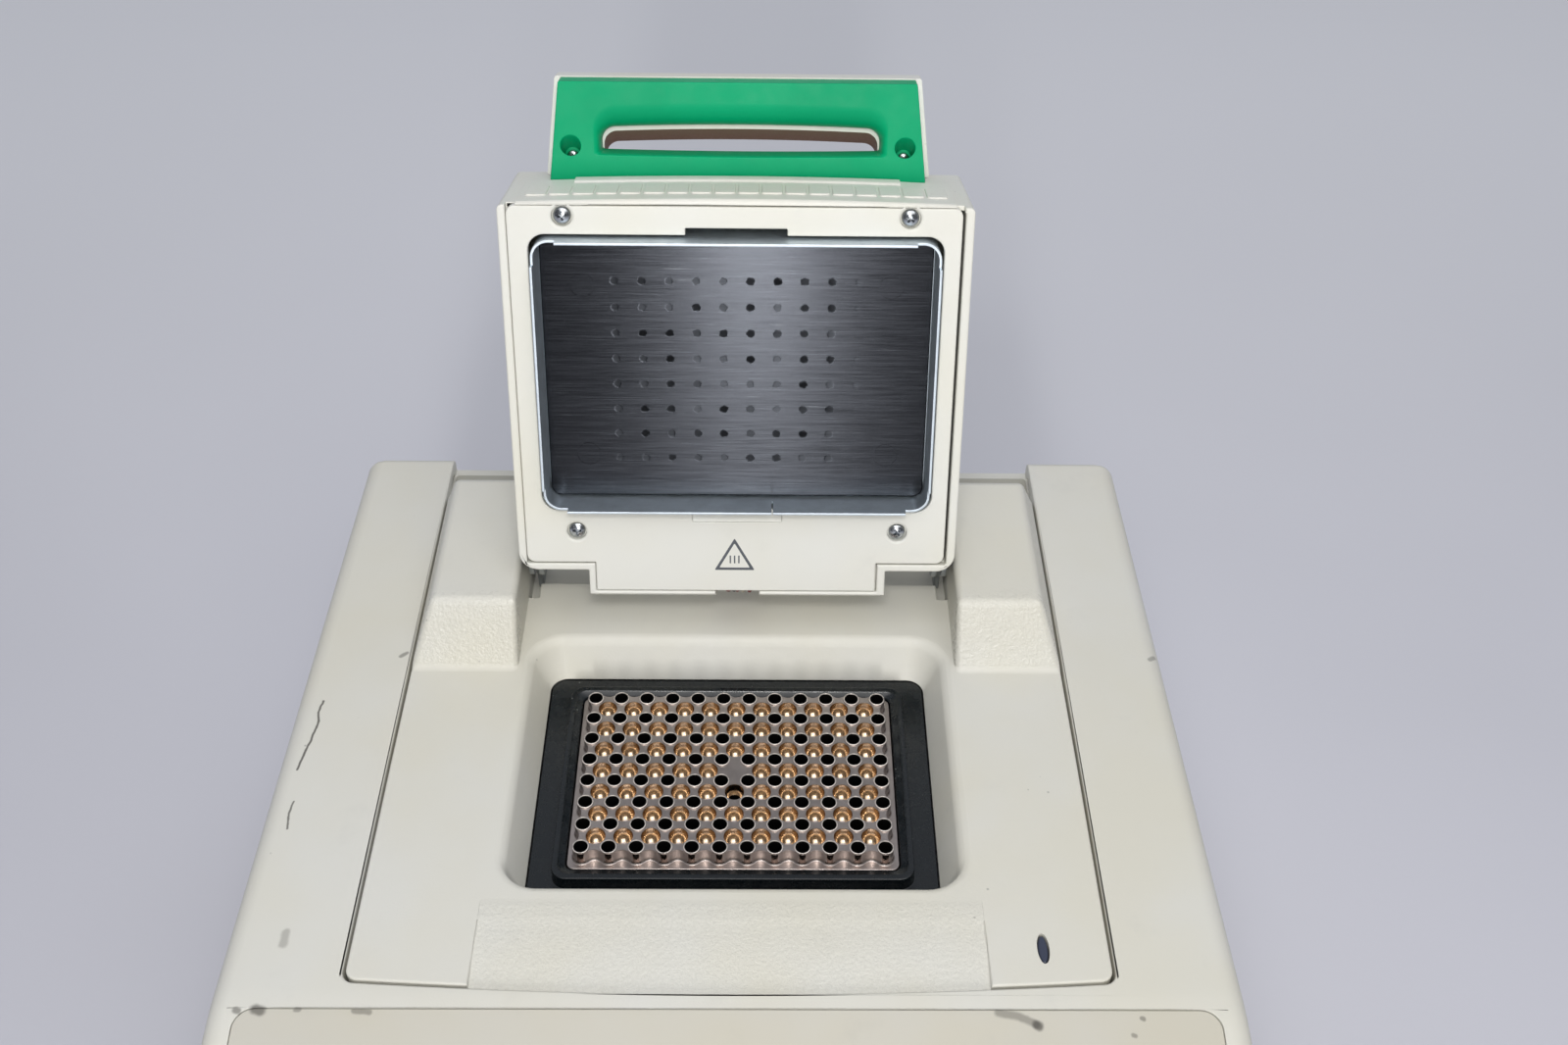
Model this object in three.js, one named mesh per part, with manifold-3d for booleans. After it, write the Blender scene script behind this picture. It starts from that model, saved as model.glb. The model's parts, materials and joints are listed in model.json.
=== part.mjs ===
// A benchtop thermal cycler: a chassis with one bay, a block module that lifts out of the bay, and a lid
// with a heated plate, hinged on the module.
//
// Millimetres. Sizes are given from the centre of the 96-well grid, at the height of the well mouths:
// +X to the right, +Y to the back, +Z up. The instrument group carries that point to its place above
// the feet. The lid is drawn in its own frame, from the hinge axis: X along the hinge, Y from the hinge
// to the handle, and Z out of the face that meets the samples.

import * as THREE from "three";
import { mergeVertices } from "three/addons/utils/BufferGeometryUtils.js";
import Module from "manifold-3d";

const wasm = await Module();
wasm.setup();

// ---- Driving dimensions ----

const GAP = 0.3; // between pieces that touch
const WALL = 4; // moulded housings
const SKIN = 3; // moulded covers of the module and lid

// Place of the well grid in the instrument
const GRID_BEHIND_CENTRE = 68;
const GRID_ABOVE_BENCH = 196;

// Chassis
const DECK = 4; // height of the flat top
const FLOOR = -186; // underside of the lower housing
const SPLIT = -84; // joint between the two housings
const FRONT = -296;
const BACK = 156;
const HALF_WIDTH_BACK = 151.5;
const HALF_WIDTH_FRONT = 157.9;
const EDGE_RADIUS = 7;
const CORNER_RADIUS = 14;
const PANEL_START = -92; // where the top begins to slope down to the front
const PANEL_TILT = THREE.MathUtils.degToRad(12);
const PANEL_HALF_WIDTH = 145.8;
const PANEL_LENGTH = 178;
const PANEL_SUNK = 1.2;
const FOOT_HEIGHT = 10;
const FOOT_RADIUS = 9;

// Block module
const MODULE_HALF_WIDTH = 115.6;
const MODULE_FRONT = -82.6; // at the corners
const MODULE_BULGE = 3.5; // how far the front edge bows out in the middle
const MODULE_BACK = 140;
const MODULE_CORNER = 4;
const BAY_GAP = 0.8;
const COVER_BOTTOM = -22;
const LEDGE = -2; // the low part behind the hinge
const LEDGE_START = 84.2;
const SHOULDER = {
  inner: 77.7,
  top: 27,
  outerTop: 107.6,
  front: 41.6,
  topFront: 53.3,
  topBack: 117,
  back: 134.6,
};
const HINGE_NOTCH = { x: 75.8, halfX: 1.9, front: 76.7 };
const FINGER_PATCH = { halfX: 78.4, back: -65.6 };
const BASIN = { halfX: 73.7, front: -50.4, back: 56.4, radius: 12 };
const BASIN_FOOT = { halfX: 67.3, halfY: 48.8, z: -10 };
const FRAME_HALF = [67, 48.5];
const FRAME_TOP = -10; // the flange, which the rib rises from
const FRAME_RIB = { outer: [59, 41], inner: [56.7, 38.5], top: -4.5, step: -5.5 };
const FRAME_HOLE = [54.5, 36.7];
const WELL_PITCH = 9;
const WELL_COLUMNS = 12;
const WELL_ROWS = 8;
const WELL_RADIUS = 2.4;
const WELL_DEPTH = 14;
const BLOCK_HALF = [54.2, 36.4];
const BLOCK_LEDGE = -5.8;
const WELL_BODY_HALF = [52.2, 34.2];
const BLOCK_BOTTOM = -22;
const SINK_HALF = [68, 58];
const SINK_TOP = -26.3;
const SINK_BOTTOM = -95;

// Lid
const HINGE = { y: 77.1, z: 22.6 };
const LID_ANGLE = THREE.MathUtils.degToRad(72.19); // above the horizontal, leaning back on its stop
const LID_FACE = 17.6; // height of the lid's face over the hinge axis
const LID_BACK = -30.4;
const LID_HALF_WIDTH = 76.5;
const LID_START = 5.3;
const LID_END = 135.5;
const INNER_HALF_WIDTH = 73.1;
const INNER_START = 8.4;
const TAB_HALF_WIDTH = 49;
const TAB_START = -2.6;
const LIP_HALF_WIDTH = 52.2; // the lip of the shell round the tab of the inner cover
const LIP_START = -4.3;
const CABLE_NOTCH = 7.7;
const COVER_SEAT = 14.3; // where the inner cover rests in the shell
const WINDOW = { halfX: 67.2, from: 28.6, to: 125.9, radius: 5.5 };
const PLATE_CENTRE = (WINDOW.from + WINDOW.to) / 2;
const HANDLE_END = 168.4;
const HANDLE_FACE = -14.4;
const HANDLE_SPLIT = -22.4;
const SLOT_HALF = 47;
const SHAFT_RADIUS = 2.5;

// Back panel
const FAN = { size: 80, depth: 25, z: -67.6, back: 149.4 };
const INLET = { x: -98, z: -142 };
const SWITCH = { x: -52, z: -142 };
const SERIAL = { x: 88, z: -142 };

// ---- Solids ----

const X = new THREE.Vector3(1, 0, 0);
const Y = new THREE.Vector3(0, 1, 0);
const Z = new THREE.Vector3(0, 0, 1);

// An outline drawn for axis x holds (y, z) points, for axis y (z, x) points, and for axis z (x, y) points.
const FRAMES = {
  x: new THREE.Matrix4().makeBasis(Y, Z, X),
  y: new THREE.Matrix4().makeBasis(Z, X, Y),
  z: new THREE.Matrix4(),
};

function solid(geometry) {
  geometry.deleteAttribute("normal");
  geometry.deleteAttribute("uv");
  const merged = mergeVertices(geometry, 1e-3);
  return new wasm.Manifold(
    new wasm.Mesh({
      numProp: 3,
      vertProperties: merged.attributes.position.array,
      triVerts: new Uint32Array(merged.index.array),
    }),
  );
}

function joined(...solids) {
  return solids.reduce((all, next) => all.add(next));
}

function cut(body, ...tools) {
  return tools.reduce((left, tool) => left.subtract(tool), body);
}

function box([x0, x1], [y0, y1], [z0, z1]) {
  const geometry = new THREE.BoxGeometry(x1 - x0, y1 - y0, z1 - z0);
  geometry.translate((x0 + x1) / 2, (y0 + y1) / 2, (z0 + z1) / 2);
  return solid(geometry);
}

function prism(shape, axis, [from, to], curveSegments = 5) {
  const geometry = new THREE.ExtrudeGeometry(shape, {
    depth: to - from,
    bevelEnabled: false,
    curveSegments,
  });
  geometry.translate(0, 0, from);
  geometry.applyMatrix4(FRAMES[axis]);
  return solid(geometry);
}

function outline(points) {
  return new THREE.Shape(points.map(([a, b]) => new THREE.Vector2(a, b)));
}

function roundedRect(a0, a1, b0, b1, radius) {
  const shape = new THREE.Shape();
  shape.absarc(a1 - radius, b0 + radius, radius, -Math.PI / 2, 0);
  shape.absarc(a1 - radius, b1 - radius, radius, 0, Math.PI / 2);
  shape.absarc(a0 + radius, b1 - radius, radius, Math.PI / 2, Math.PI);
  shape.absarc(a0 + radius, b0 + radius, radius, Math.PI, 1.5 * Math.PI);
  return shape;
}

// A cylinder along an axis, at (a, b) in that axis's outline coordinates.
function cylinder(radius, axis, [a, b], [from, to], sides = 16) {
  const geometry = new THREE.CylinderGeometry(radius, radius, to - from, sides);
  geometry.rotateX(Math.PI / 2);
  geometry.translate(a, b, (from + to) / 2);
  geometry.applyMatrix4(FRAMES[axis]);
  return solid(geometry);
}

// A closed skin over rings of points, each ring given in the same order.
function loft(rings) {
  const count = rings[0].length;
  const positions = rings.flat().flatMap((point) => point.toArray());
  const centre = (ring) =>
    ring.reduce((sum, point) => sum.add(point), new THREE.Vector3()).divideScalar(count);
  positions.push(...centre(rings[0]).toArray(), ...centre(rings[rings.length - 1]).toArray());
  const firstCentre = rings.length * count;
  const lastRing = (rings.length - 1) * count;
  const faces = [];
  for (let i = 0; i < count; i++) {
    const next = (i + 1) % count;
    for (let ring = 0; ring < rings.length - 1; ring++) {
      const here = ring * count;
      const above = here + count;
      faces.push(here + i, here + next, above + next, here + i, above + next, above + i);
    }
    faces.push(firstCentre, next, i);
    faces.push(firstCentre + 1, lastRing + i, lastRing + next);
  }
  const geometry = new THREE.BufferGeometry();
  geometry.setAttribute("position", new THREE.Float32BufferAttribute(positions, 3));
  geometry.setIndex(faces);
  return solid(geometry);
}

// ---- Materials ----

function material(color, roughness, metalness = 0) {
  return new THREE.MeshStandardMaterial({ color, roughness, metalness, flatShading: true });
}

const BEIGE = material(0xd6d2c4, 0.6);
const BEIGE_DARK = material(0xbdb9aa, 0.65);
const GREEN = material(0x1a9a66, 0.45);
const BLACK = material(0x1a2024, 0.5);
const BLACK_ANODISED = material(0x1d1f21, 0.35, 0.6);
const BLOCK_METAL = material(0xa39a8c, 0.35, 0.9);
const STEEL = material(0xa8adb2, 0.35, 0.9);
const ZINC = material(0xc4c6c6, 0.25, 1);
const ALUMINIUM = material(0xb9bcc0, 0.4, 0.9);
const BOARD = material(0x1f5a3a, 0.5);
const CERAMIC = material(0xe8e6df, 0.5);
const RUBBER = material(0x222222, 0.9);
const SMOKED = material(0x39404c, 0.15);
const CLEAR = material(0x4a5a50, 0.1);
const SILICONE = material(0xb5562d, 0.7);
const GREY_PRINT = material(0xaab0b0, 0.55);
const WIRE = material(0x9a2a22, 0.5);

// ---- Assembly ----

const instrument = new THREE.Group();
instrument.position.set(0, GRID_BEHIND_CENTRE, GRID_ABOVE_BENCH);
const panel = new THREE.Group();
panel.position.set(0, PANEL_START, DECK);
panel.rotation.x = PANEL_TILT;
const lid = new THREE.Group();
lid.position.set(0, HINGE.y, HINGE.z);
lid.rotation.x = LID_ANGLE;
instrument.add(panel, lid);

function place(name, body, look, group = instrument) {
  const { numProp, vertProperties, triVerts, numVert } = body.getMesh();
  const positions = new Float32Array(numVert * 3);
  for (let i = 0; i < numVert; i++) {
    positions.set(vertProperties.subarray(i * numProp, i * numProp + 3), i * 3);
  }
  const geometry = new THREE.BufferGeometry();
  geometry.setAttribute("position", new THREE.BufferAttribute(positions, 3));
  geometry.setIndex(new THREE.BufferAttribute(triVerts, 1));
  geometry.computeVertexNormals();
  const mesh = new THREE.Mesh(geometry, look);
  mesh.name = name;
  group.add(mesh);
}

const SIDES = [
  ["left", -1],
  ["right", 1],
];

// ---- Chassis housings ----

function halfWidth(y) {
  const share = (BACK - y) / (BACK - FRONT);
  return HALF_WIDTH_BACK + share * (HALF_WIDTH_FRONT - HALF_WIDTH_BACK);
}

function topHeight(y) {
  return DECK - Math.max(0, PANEL_START - y) * Math.tan(PANEL_TILT);
}

// One cross-section of the body: flat sides and bottom, rounded upper edges.
function bodyRing(y, half, top, bottom, radius) {
  const ring = [new THREE.Vector3(-half, y, bottom), new THREE.Vector3(half, y, bottom)];
  const steps = 4;
  for (const [side, start] of [
    [1, 0],
    [-1, Math.PI / 2],
  ]) {
    for (let i = 0; i <= steps; i++) {
      const angle = start + (i / steps) * (Math.PI / 2);
      const x = side * (half - radius) + radius * Math.cos(angle);
      ring.push(new THREE.Vector3(x, y, top - radius + radius * Math.sin(angle)));
    }
  }
  return ring;
}

// The body's outer shape, drawn in by an inset on every side.
function bodyShape(inset) {
  const radius = EDGE_RADIUS - inset / 2;
  const bottom = FLOOR + inset;
  const rings = [];
  const steps = 4;
  const backRadius = 4;
  const frontRadius = CORNER_RADIUS;
  for (let i = steps; i >= 0; i--) {
    const angle = (i / steps) * (Math.PI / 2);
    const y = FRONT + frontRadius - frontRadius * Math.sin(angle) + inset;
    const drawnIn = frontRadius * (1 - Math.cos(angle)) + inset;
    const start = FRONT + frontRadius;
    rings.push(bodyRing(y, halfWidth(start) - drawnIn, topHeight(start) - drawnIn, bottom, radius));
  }
  rings.push(bodyRing(PANEL_START, halfWidth(PANEL_START) - inset, DECK - inset, bottom, radius));
  for (let i = 0; i <= 2; i++) {
    const angle = (i / 2) * (Math.PI / 2);
    const y = BACK - backRadius + backRadius * Math.sin(angle) - inset;
    const drawnIn = backRadius * (1 - Math.cos(angle)) + inset;
    rings.push(bodyRing(y, halfWidth(y) - drawnIn, DECK - drawnIn, bottom, radius));
  }
  return loft(rings.map((ring) => ring.reverse()));
}

// The module's outline from above, grown by a margin.
function modulePlan(margin) {
  const half = MODULE_HALF_WIDTH + margin;
  const front = MODULE_FRONT - margin;
  const back = MODULE_BACK + margin;
  const shape = new THREE.Shape();
  shape.moveTo(half, back);
  shape.lineTo(-half, back);
  shape.lineTo(-half, front + MODULE_CORNER);
  shape.absarc(-half + MODULE_CORNER, front + MODULE_CORNER, MODULE_CORNER, Math.PI, 1.5 * Math.PI);
  shape.quadraticCurveTo(0, front - 2 * MODULE_BULGE, half - MODULE_CORNER, front);
  shape.absarc(half - MODULE_CORNER, front + MODULE_CORNER, MODULE_CORNER, -Math.PI / 2, 0);
  return shape;
}

const everywhere = [-400, 400];
const bodyOuter = bodyShape(0);
const bodyInner = bodyShape(WALL);
const shell = cut(bodyOuter, bodyInner);
const backOpening = box([-138, 138], [BACK - WALL - 3, BACK + 5], [-176, -24]);

function upperHousing() {
  const upper = cut(shell, box(everywhere, everywhere, [-400, SPLIT]));
  const collarDepth = -24;
  const collar = cut(
    prism(modulePlan(BAY_GAP + SKIN), "z", [collarDepth, DECK - 1]),
    box(everywhere, [BACK - WALL - 1, 400], [-60, DECK]),
  );
  const crossbar = box([-120, 120], [MODULE_BACK + BAY_GAP, BACK - 1], [-14, LEDGE - 1]);
  const bay = prism(modulePlan(BAY_GAP), "z", [collarDepth - 1, DECK + 1]);
  const channel = box(
    [-MODULE_HALF_WIDTH - BAY_GAP, MODULE_HALF_WIDTH + BAY_GAP],
    [MODULE_BACK, BACK + 1],
    [LEDGE - 1, DECK + 1],
  );
  return cut(joined(upper, collar, crossbar), bay, channel, backOpening, panelRecess(), displayHole());
}

function inPanelFrame(body) {
  return body.rotate([THREE.MathUtils.radToDeg(PANEL_TILT), 0, 0]).translate([0, PANEL_START, DECK]);
}

function panelRecess() {
  const shape = roundedRect(-PANEL_HALF_WIDTH, PANEL_HALF_WIDTH, -PANEL_LENGTH, 0, 6);
  return inPanelFrame(prism(shape, "z", [-PANEL_SUNK, 6]));
}

const DISPLAY = { halfX: 62, from: -84, to: -36 };

function displayHole() {
  const { halfX, from, to } = DISPLAY;
  return inPanelFrame(box([-halfX, halfX], [from, to], [-WALL - 2, 2]));
}

function slots(count, pitch, width, [x0, x1], [z0, z1], middle) {
  const start = middle - ((count - 1) * pitch) / 2;
  return Array.from({ length: count }, (_, i) => {
    const y = start + i * pitch;
    return box([x0, x1], [y - width / 2, y + width / 2], [z0, z1]);
  });
}

function lowerHousing() {
  const lower = cut(shell, box(everywhere, everywhere, [SPLIT - GAP, 400]));
  const sideSlots = slots(12, 11, 5, [-200, 200], [-158, -112], 10);
  const frontSlots = Array.from({ length: 12 }, (_, i) => {
    const x = (i - 5.5) * 16;
    return box([x - 4, x + 4], [FRONT - 5, FRONT + WALL + 5], [-166, -148]);
  });
  return cut(lower, backOpening, ...sideSlots, ...frontSlots);
}

place("upper_housing", upperHousing(), BEIGE);
place("lower_housing", lowerHousing(), BEIGE_DARK);

for (const [side, sign] of SIDES) {
  for (const [end, y] of [
    ["front", FRONT + 34],
    ["back", BACK - 30],
  ]) {
    const foot = cylinder(FOOT_RADIUS, "z", [sign * 130, y], [FLOOR - FOOT_HEIGHT, FLOOR - GAP], 20);
    place(`foot_${end}_${side}`, foot, RUBBER);
  }
}

// ---- Control panel ----

const panelOverlay = cut(
  prism(
    roundedRect(-PANEL_HALF_WIDTH + GAP, PANEL_HALF_WIDTH - GAP, -PANEL_LENGTH + GAP, -GAP, 6),
    "z",
    [-PANEL_SUNK + GAP, -0.1],
  ),
  box([-DISPLAY.halfX - 1, DISPLAY.halfX + 1], [DISPLAY.from - 1, DISPLAY.to + 1], [-3, 3]),
);
place("panel_overlay", panelOverlay, GREY_PRINT, panel);
const displayWindow = box(
  [-DISPLAY.halfX + GAP, DISPLAY.halfX - GAP],
  [DISPLAY.from + GAP, DISPLAY.to - GAP],
  [-WALL + 0.5, -0.4],
);
place("display_window", displayWindow, CLEAR, panel);
const displayModule = joined(
  box([-68, 68], [DISPLAY.from - 6, DISPLAY.to + 6], [-15, -WALL - 1]),
  box([-60, 60], [DISPLAY.from + 2, DISPLAY.to - 2], [-WALL - 2, -WALL]),
);
place("display_module", displayModule, BLACK, panel);
const controlBoard = joined(
  box([-126, 126], [-152, -24], [-21, -19]),
  box([-110, -82], [-140, -120], [-19.5, -12]),
  box([84, 112], [-110, -60], [-19.5, -10]),
  box([-40, 40], [-148, -140], [-19.5, -11]),
);
place("control_board", controlBoard, BOARD, panel);

// ---- Electronics in the lower housing ----

const powerSupply = cut(
  box([-140, -26], [-4, 118], [FLOOR + WALL + GAP, -116]),
  box([-138, -28], [-2, 116], [FLOOR + WALL + GAP + 2, -118]),
  ...slots(9, 11, 5, [-142, -134], [-172, -128], 57),
);
place("power_supply", powerSupply, STEEL);
const mainBoard = joined(
  box([-14, 136], [-46, 116], [-172, -170]),
  ...[-6, 128].flatMap((x) =>
    [-38, 108].map((y) => cylinder(3.5, "z", [x, y], [FLOOR + WALL + GAP, -171], 8)),
  ),
  box([20, 70], [10, 60], [-170.5, -150]),
  box([92, 116], [-30, 90], [-170.5, -158]),
  box([0, 60], [80, 100], [-170.5, -160]),
);
place("main_board", mainBoard, BOARD);

// A sheet-metal tray carries the module and leads the air to the fan.
const TRAY_Z = -110;
const bayTray = cut(
  joined(
    box([-114, 114], [-80, 122], [TRAY_Z, TRAY_Z + 1.6]),
    ...SIDES.map(([, s]) => box([s * 113 - 1, s * 113 + 1], [-80, 122], [TRAY_Z, -36])),
  ),
  box([-60, 60], [-76, -30], [TRAY_Z - 1, TRAY_Z + 4]),
);
place("bay_tray", bayTray, ALUMINIUM);
const CONNECTOR = { x: [86, 100], y: [20, 84] };
const bayConnector = cut(
  box(CONNECTOR.x, CONNECTOR.y, [TRAY_Z + 1.6 + GAP, -97.3]),
  box([90, 96], [24, 80], [-102, -90]),
);
place("bay_connector", bayConnector, BLACK);

// ---- Back panel, fan and sockets ----

const PANEL_BACK = BACK - WALL - GAP; // outer face of the back panel
const PANEL_PLATE = [PANEL_BACK - 1.8, PANEL_BACK];
const backPanel = cut(
  box([-142, 142], PANEL_PLATE, [-180, -18]),
  cylinder(38, "y", [FAN.z, 0], [100, 200], 32),
  box([INLET.x - 14.5, INLET.x + 14.5], [100, 200], [INLET.z - 10.5, INLET.z + 10.5]),
  box([SWITCH.x - 13, SWITCH.x + 13], [100, 200], [SWITCH.z - 9.5, SWITCH.z + 9.5]),
  box([SERIAL.x - 10.5, SERIAL.x + 10.5], [100, 200], [SERIAL.z - 6, SERIAL.z + 6]),
  ...Array.from({ length: 7 }, (_, i) => {
    const z = -100 + i * 11;
    return box([62, 126], [100, 200], [z - 2.5, z + 2.5]);
  }),
);
place("back_panel", backPanel, GREY_PRINT);

const fanHalf = FAN.size / 2;
const fanFront = FAN.back - FAN.depth;
const fanMiddle = FAN.back - FAN.depth / 2;
const fanFrame = joined(
  cut(
    box([-fanHalf, fanHalf], [fanFront, FAN.back], [FAN.z - fanHalf, FAN.z + fanHalf]),
    cylinder(37.5, "y", [FAN.z, 0], [fanFront - 1, FAN.back + 1], 32),
  ),
  cylinder(15, "y", [FAN.z, 0], [fanFront, fanFront + 3], 16),
  box([-39, 39], [fanFront, fanFront + 3], [FAN.z - 2, FAN.z + 2]),
  box([-2, 2], [fanFront, fanFront + 3], [FAN.z - 39, FAN.z + 39]),
);
place("fan_frame", fanFrame, BLACK);

const BLADES = 7;
const BLADE_PITCH = 35; // degrees
const fanRotor = joined(
  cylinder(14, "y", [FAN.z, 0], [fanFront + 4, FAN.back - 2], 20),
  ...Array.from({ length: BLADES }, (_, i) =>
    box([10, 35.5], [-1, 1], [-9, 9])
      .rotate([BLADE_PITCH, 0, 0])
      .rotate([0, (i * 360) / BLADES, 0])
      .translate([0, fanMiddle + 1, FAN.z]),
  ),
);
place("fan_rotor", fanRotor, BLACK);

const GUARD_OUT = 160;
function guardRing(radius) {
  const ring = new THREE.Shape();
  ring.absarc(FAN.z, 0, radius + 1.1, 0, 2 * Math.PI);
  const hole = new THREE.Path();
  hole.absarc(FAN.z, 0, radius - 1.1, 0, 2 * Math.PI);
  ring.holes.push(hole);
  return prism(ring, "y", [GUARD_OUT - 2, GUARD_OUT], 8);
}
const guardBars = [45, 135].map((angle) =>
  box([-52, 52], [GUARD_OUT - 3.5, GUARD_OUT - 1.5], [-1.2, 1.2])
    .rotate([0, angle, 0])
    .translate([0, 0, FAN.z]),
);
const guardLegs = [-1, 1].flatMap((a) =>
  [-1, 1].map((b) =>
    cylinder(3.5, "y", [FAN.z + b * 35.7, a * 35.7], [PANEL_BACK + GAP, GUARD_OUT - 1.5], 10),
  ),
);
const fanGuard = joined(...[10, 19, 28, 37].map(guardRing), ...guardBars, ...guardLegs);
place("fan_guard", fanGuard, STEEL);

const flange = [PANEL_BACK + GAP, PANEL_BACK + GAP + 2.4];
function socket(at, half, flangeHalf, depth, cavityHalf, cavityDepth) {
  const around = ([a, b]) => [
    [at.x - a, at.x + a],
    [at.z - b, at.z + b],
  ];
  const [bodyX, bodyZ] = around(half);
  const [flangeX, flangeZ] = around(flangeHalf);
  const [cavityX, cavityZ] = around(cavityHalf);
  return cut(
    joined(box(bodyX, [flange[0] - depth, flange[1]], bodyZ), box(flangeX, flange, flangeZ)),
    box(cavityX, [flange[1] - cavityDepth, flange[1] + 1], cavityZ),
  );
}
const inletPins = [
  [-7, -2],
  [0, 3],
  [7, -2],
].map(([x, z]) =>
  box(
    [INLET.x + x - 1, INLET.x + x + 1],
    [flange[1] - 17.5, flange[1] - 3],
    [INLET.z + z - 2, INLET.z + z + 2],
  ),
);
const powerInlet = joined(socket(INLET, [14, 10], [25, 12.5], 24, [12, 8], 17), ...inletPins);
place("power_inlet", powerInlet, BLACK);

const powerSwitch = socket(SWITCH, [12.5, 9], [15.5, 11.5], 18, [10, 7], 12);
place("power_switch", powerSwitch, BLACK);
const ROCKER = { y: flange[1] - 5, half: 6.4, tilt: 7 };
const rockerOutline = outline([
  [-ROCKER.half, -3.4],
  [ROCKER.half, -3.4],
  [ROCKER.half, 3],
  [0, 5.2],
  [-ROCKER.half, 3],
]);
const powerRocker = prism(rockerOutline, "x", [-9.5, 9.5])
  .rotate([-90, 0, 0])
  .rotate([ROCKER.tilt, 0, 0])
  .translate([SWITCH.x, ROCKER.y, SWITCH.z]);
place("power_rocker", powerRocker, BLACK);

const serialPort = joined(
  socket(SERIAL, [10, 5.5], [16, 6.3], 12, [8.6, 4.1], 6),
  box([SERIAL.x - 7, SERIAL.x + 7], [flange[1] - 6.5, flange[1] - 1.5], [SERIAL.z - 2.4, SERIAL.z + 2.4]),
);
place("serial_port", serialPort, STEEL);

// ---- Block module ----

// Shoulders stand on the cover at each side of the lid and hold the hinge.
function shoulder(sign, inset) {
  const inner = SHOULDER.inner + inset;
  const top = SHOULDER.top - inset;
  const outerTop = SHOULDER.outerTop - inset;
  const outerFoot = MODULE_HALF_WIDTH - inset * 1.2;
  const base = LEDGE - 6;
  const across = outline([
    [base, sign * inner],
    [base, sign * outerFoot],
    [DECK, sign * outerFoot],
    [top, sign * outerTop],
    [top, sign * (inner + 1.5)],
    [top - 1.5, sign * inner],
  ]);
  const along = outline([
    [SHOULDER.front + inset, base],
    [SHOULDER.back - inset, base],
    [SHOULDER.back - inset, LEDGE],
    [SHOULDER.topBack - inset, top],
    [SHOULDER.topFront + inset, top],
    [SHOULDER.front + inset, DECK],
  ]);
  return prism(across, "y", [30, 145]).intersect(prism(along, "x", [-130, 130]));
}

// The rounded basin over the block narrows downwards. A margin grows it on every side.
function basin(margin, [bottom, top]) {
  const height = DECK - BASIN_FOOT.z;
  const rings = [bottom, top].map((z) => {
    const share = (DECK - z) / height;
    const halfX = THREE.MathUtils.lerp(BASIN.halfX, BASIN_FOOT.halfX, share) + margin;
    const back = THREE.MathUtils.lerp(BASIN.back, BASIN_FOOT.halfY, share) + margin;
    const front = THREE.MathUtils.lerp(BASIN.front, -BASIN_FOOT.halfY, share) - margin;
    const corners = roundedRect(-halfX, halfX, front, back, BASIN.radius - 6 * Math.min(1, share));
    return corners.getPoints(5).map(({ x, y }) => new THREE.Vector3(x, y, z));
  });
  return loft(rings);
}

const LENS = { x: 95.5, y: -71.4, halfX: 1.6, halfY: 5 };
function lensShape(margin) {
  const shape = new THREE.Shape();
  shape.absellipse(LENS.x, LENS.y, LENS.halfX + margin, LENS.halfY + margin, 0, 2 * Math.PI);
  return shape;
}

function moduleCover() {
  const outer = outline([
    [-95, COVER_BOTTOM],
    [MODULE_BACK, COVER_BOTTOM],
    [MODULE_BACK, LEDGE],
    [LEDGE_START, LEDGE],
    [LEDGE_START, DECK],
    [-95, DECK],
  ]);
  const inner = outline([
    [-95, COVER_BOTTOM - 1],
    [MODULE_BACK, COVER_BOTTOM - 1],
    [MODULE_BACK, LEDGE - SKIN],
    [LEDGE_START - SKIN, LEDGE - SKIN],
    [LEDGE_START - SKIN, DECK - WALL],
    [-95, DECK - WALL],
  ]);
  const skin = prism(outer, "x", [-130, 130]).intersect(prism(modulePlan(0), "z", [-60, 60]));
  const room = prism(inner, "x", [-130, 130]).intersect(prism(modulePlan(-SKIN), "z", [-60, 60]));
  const fingerPatch = outline([
    [FINGER_PATCH.back, DECK],
    [FINGER_PATCH.back - 0.4, DECK + 2],
    [-95, DECK + 2],
    [-95, DECK - 3],
  ]);
  const hollow = cut(
    joined(skin, shoulder(-1, 0), shoulder(1, 0)),
    room,
    shoulder(-1, SKIN),
    shoulder(1, SKIN),
  );
  const { x, halfX, front } = HINGE_NOTCH;
  const hingeNotches = SIDES.map(([, s]) =>
    box([s * x - halfX, s * x + halfX], [front, LEDGE_START + 1], [LEDGE, DECK + 1]),
  );
  return cut(
    joined(hollow, basin(SKIN, [BASIN_FOOT.z, 1])),
    basin(0, [BASIN_FOOT.z - 1, DECK + 1]),
    prism(fingerPatch, "x", [-FINGER_PATCH.halfX, FINGER_PATCH.halfX]),
    prism(lensShape(GAP), "z", [-30, 10]),
    ...hingeNotches,
  );
}
place("module_cover", moduleCover(), BEIGE);
place("status_lens", prism(lensShape(0), "z", [-2, DECK - 0.4]), SMOKED);

function rectangle(halfX, halfY, radius, z) {
  return prism(roundedRect(-halfX, halfX, -halfY, halfY, radius), "z", z);
}

const [frameX, frameY] = FRAME_HALF;
const [ribX, ribY] = FRAME_RIB.outer;
const blockFrame = cut(
  joined(
    rectangle(frameX, frameY, 5, [-20, FRAME_TOP]),
    rectangle(ribX, ribY, 5, [FRAME_TOP - 1, FRAME_RIB.top]),
  ),
  rectangle(FRAME_RIB.inner[0], FRAME_RIB.inner[1], 3.5, [FRAME_RIB.step, 0]),
  rectangle(FRAME_HOLE[0], FRAME_HOLE[1], 2.5, [-30, 0]),
);
place("block_frame", blockFrame, BLACK);

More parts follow.
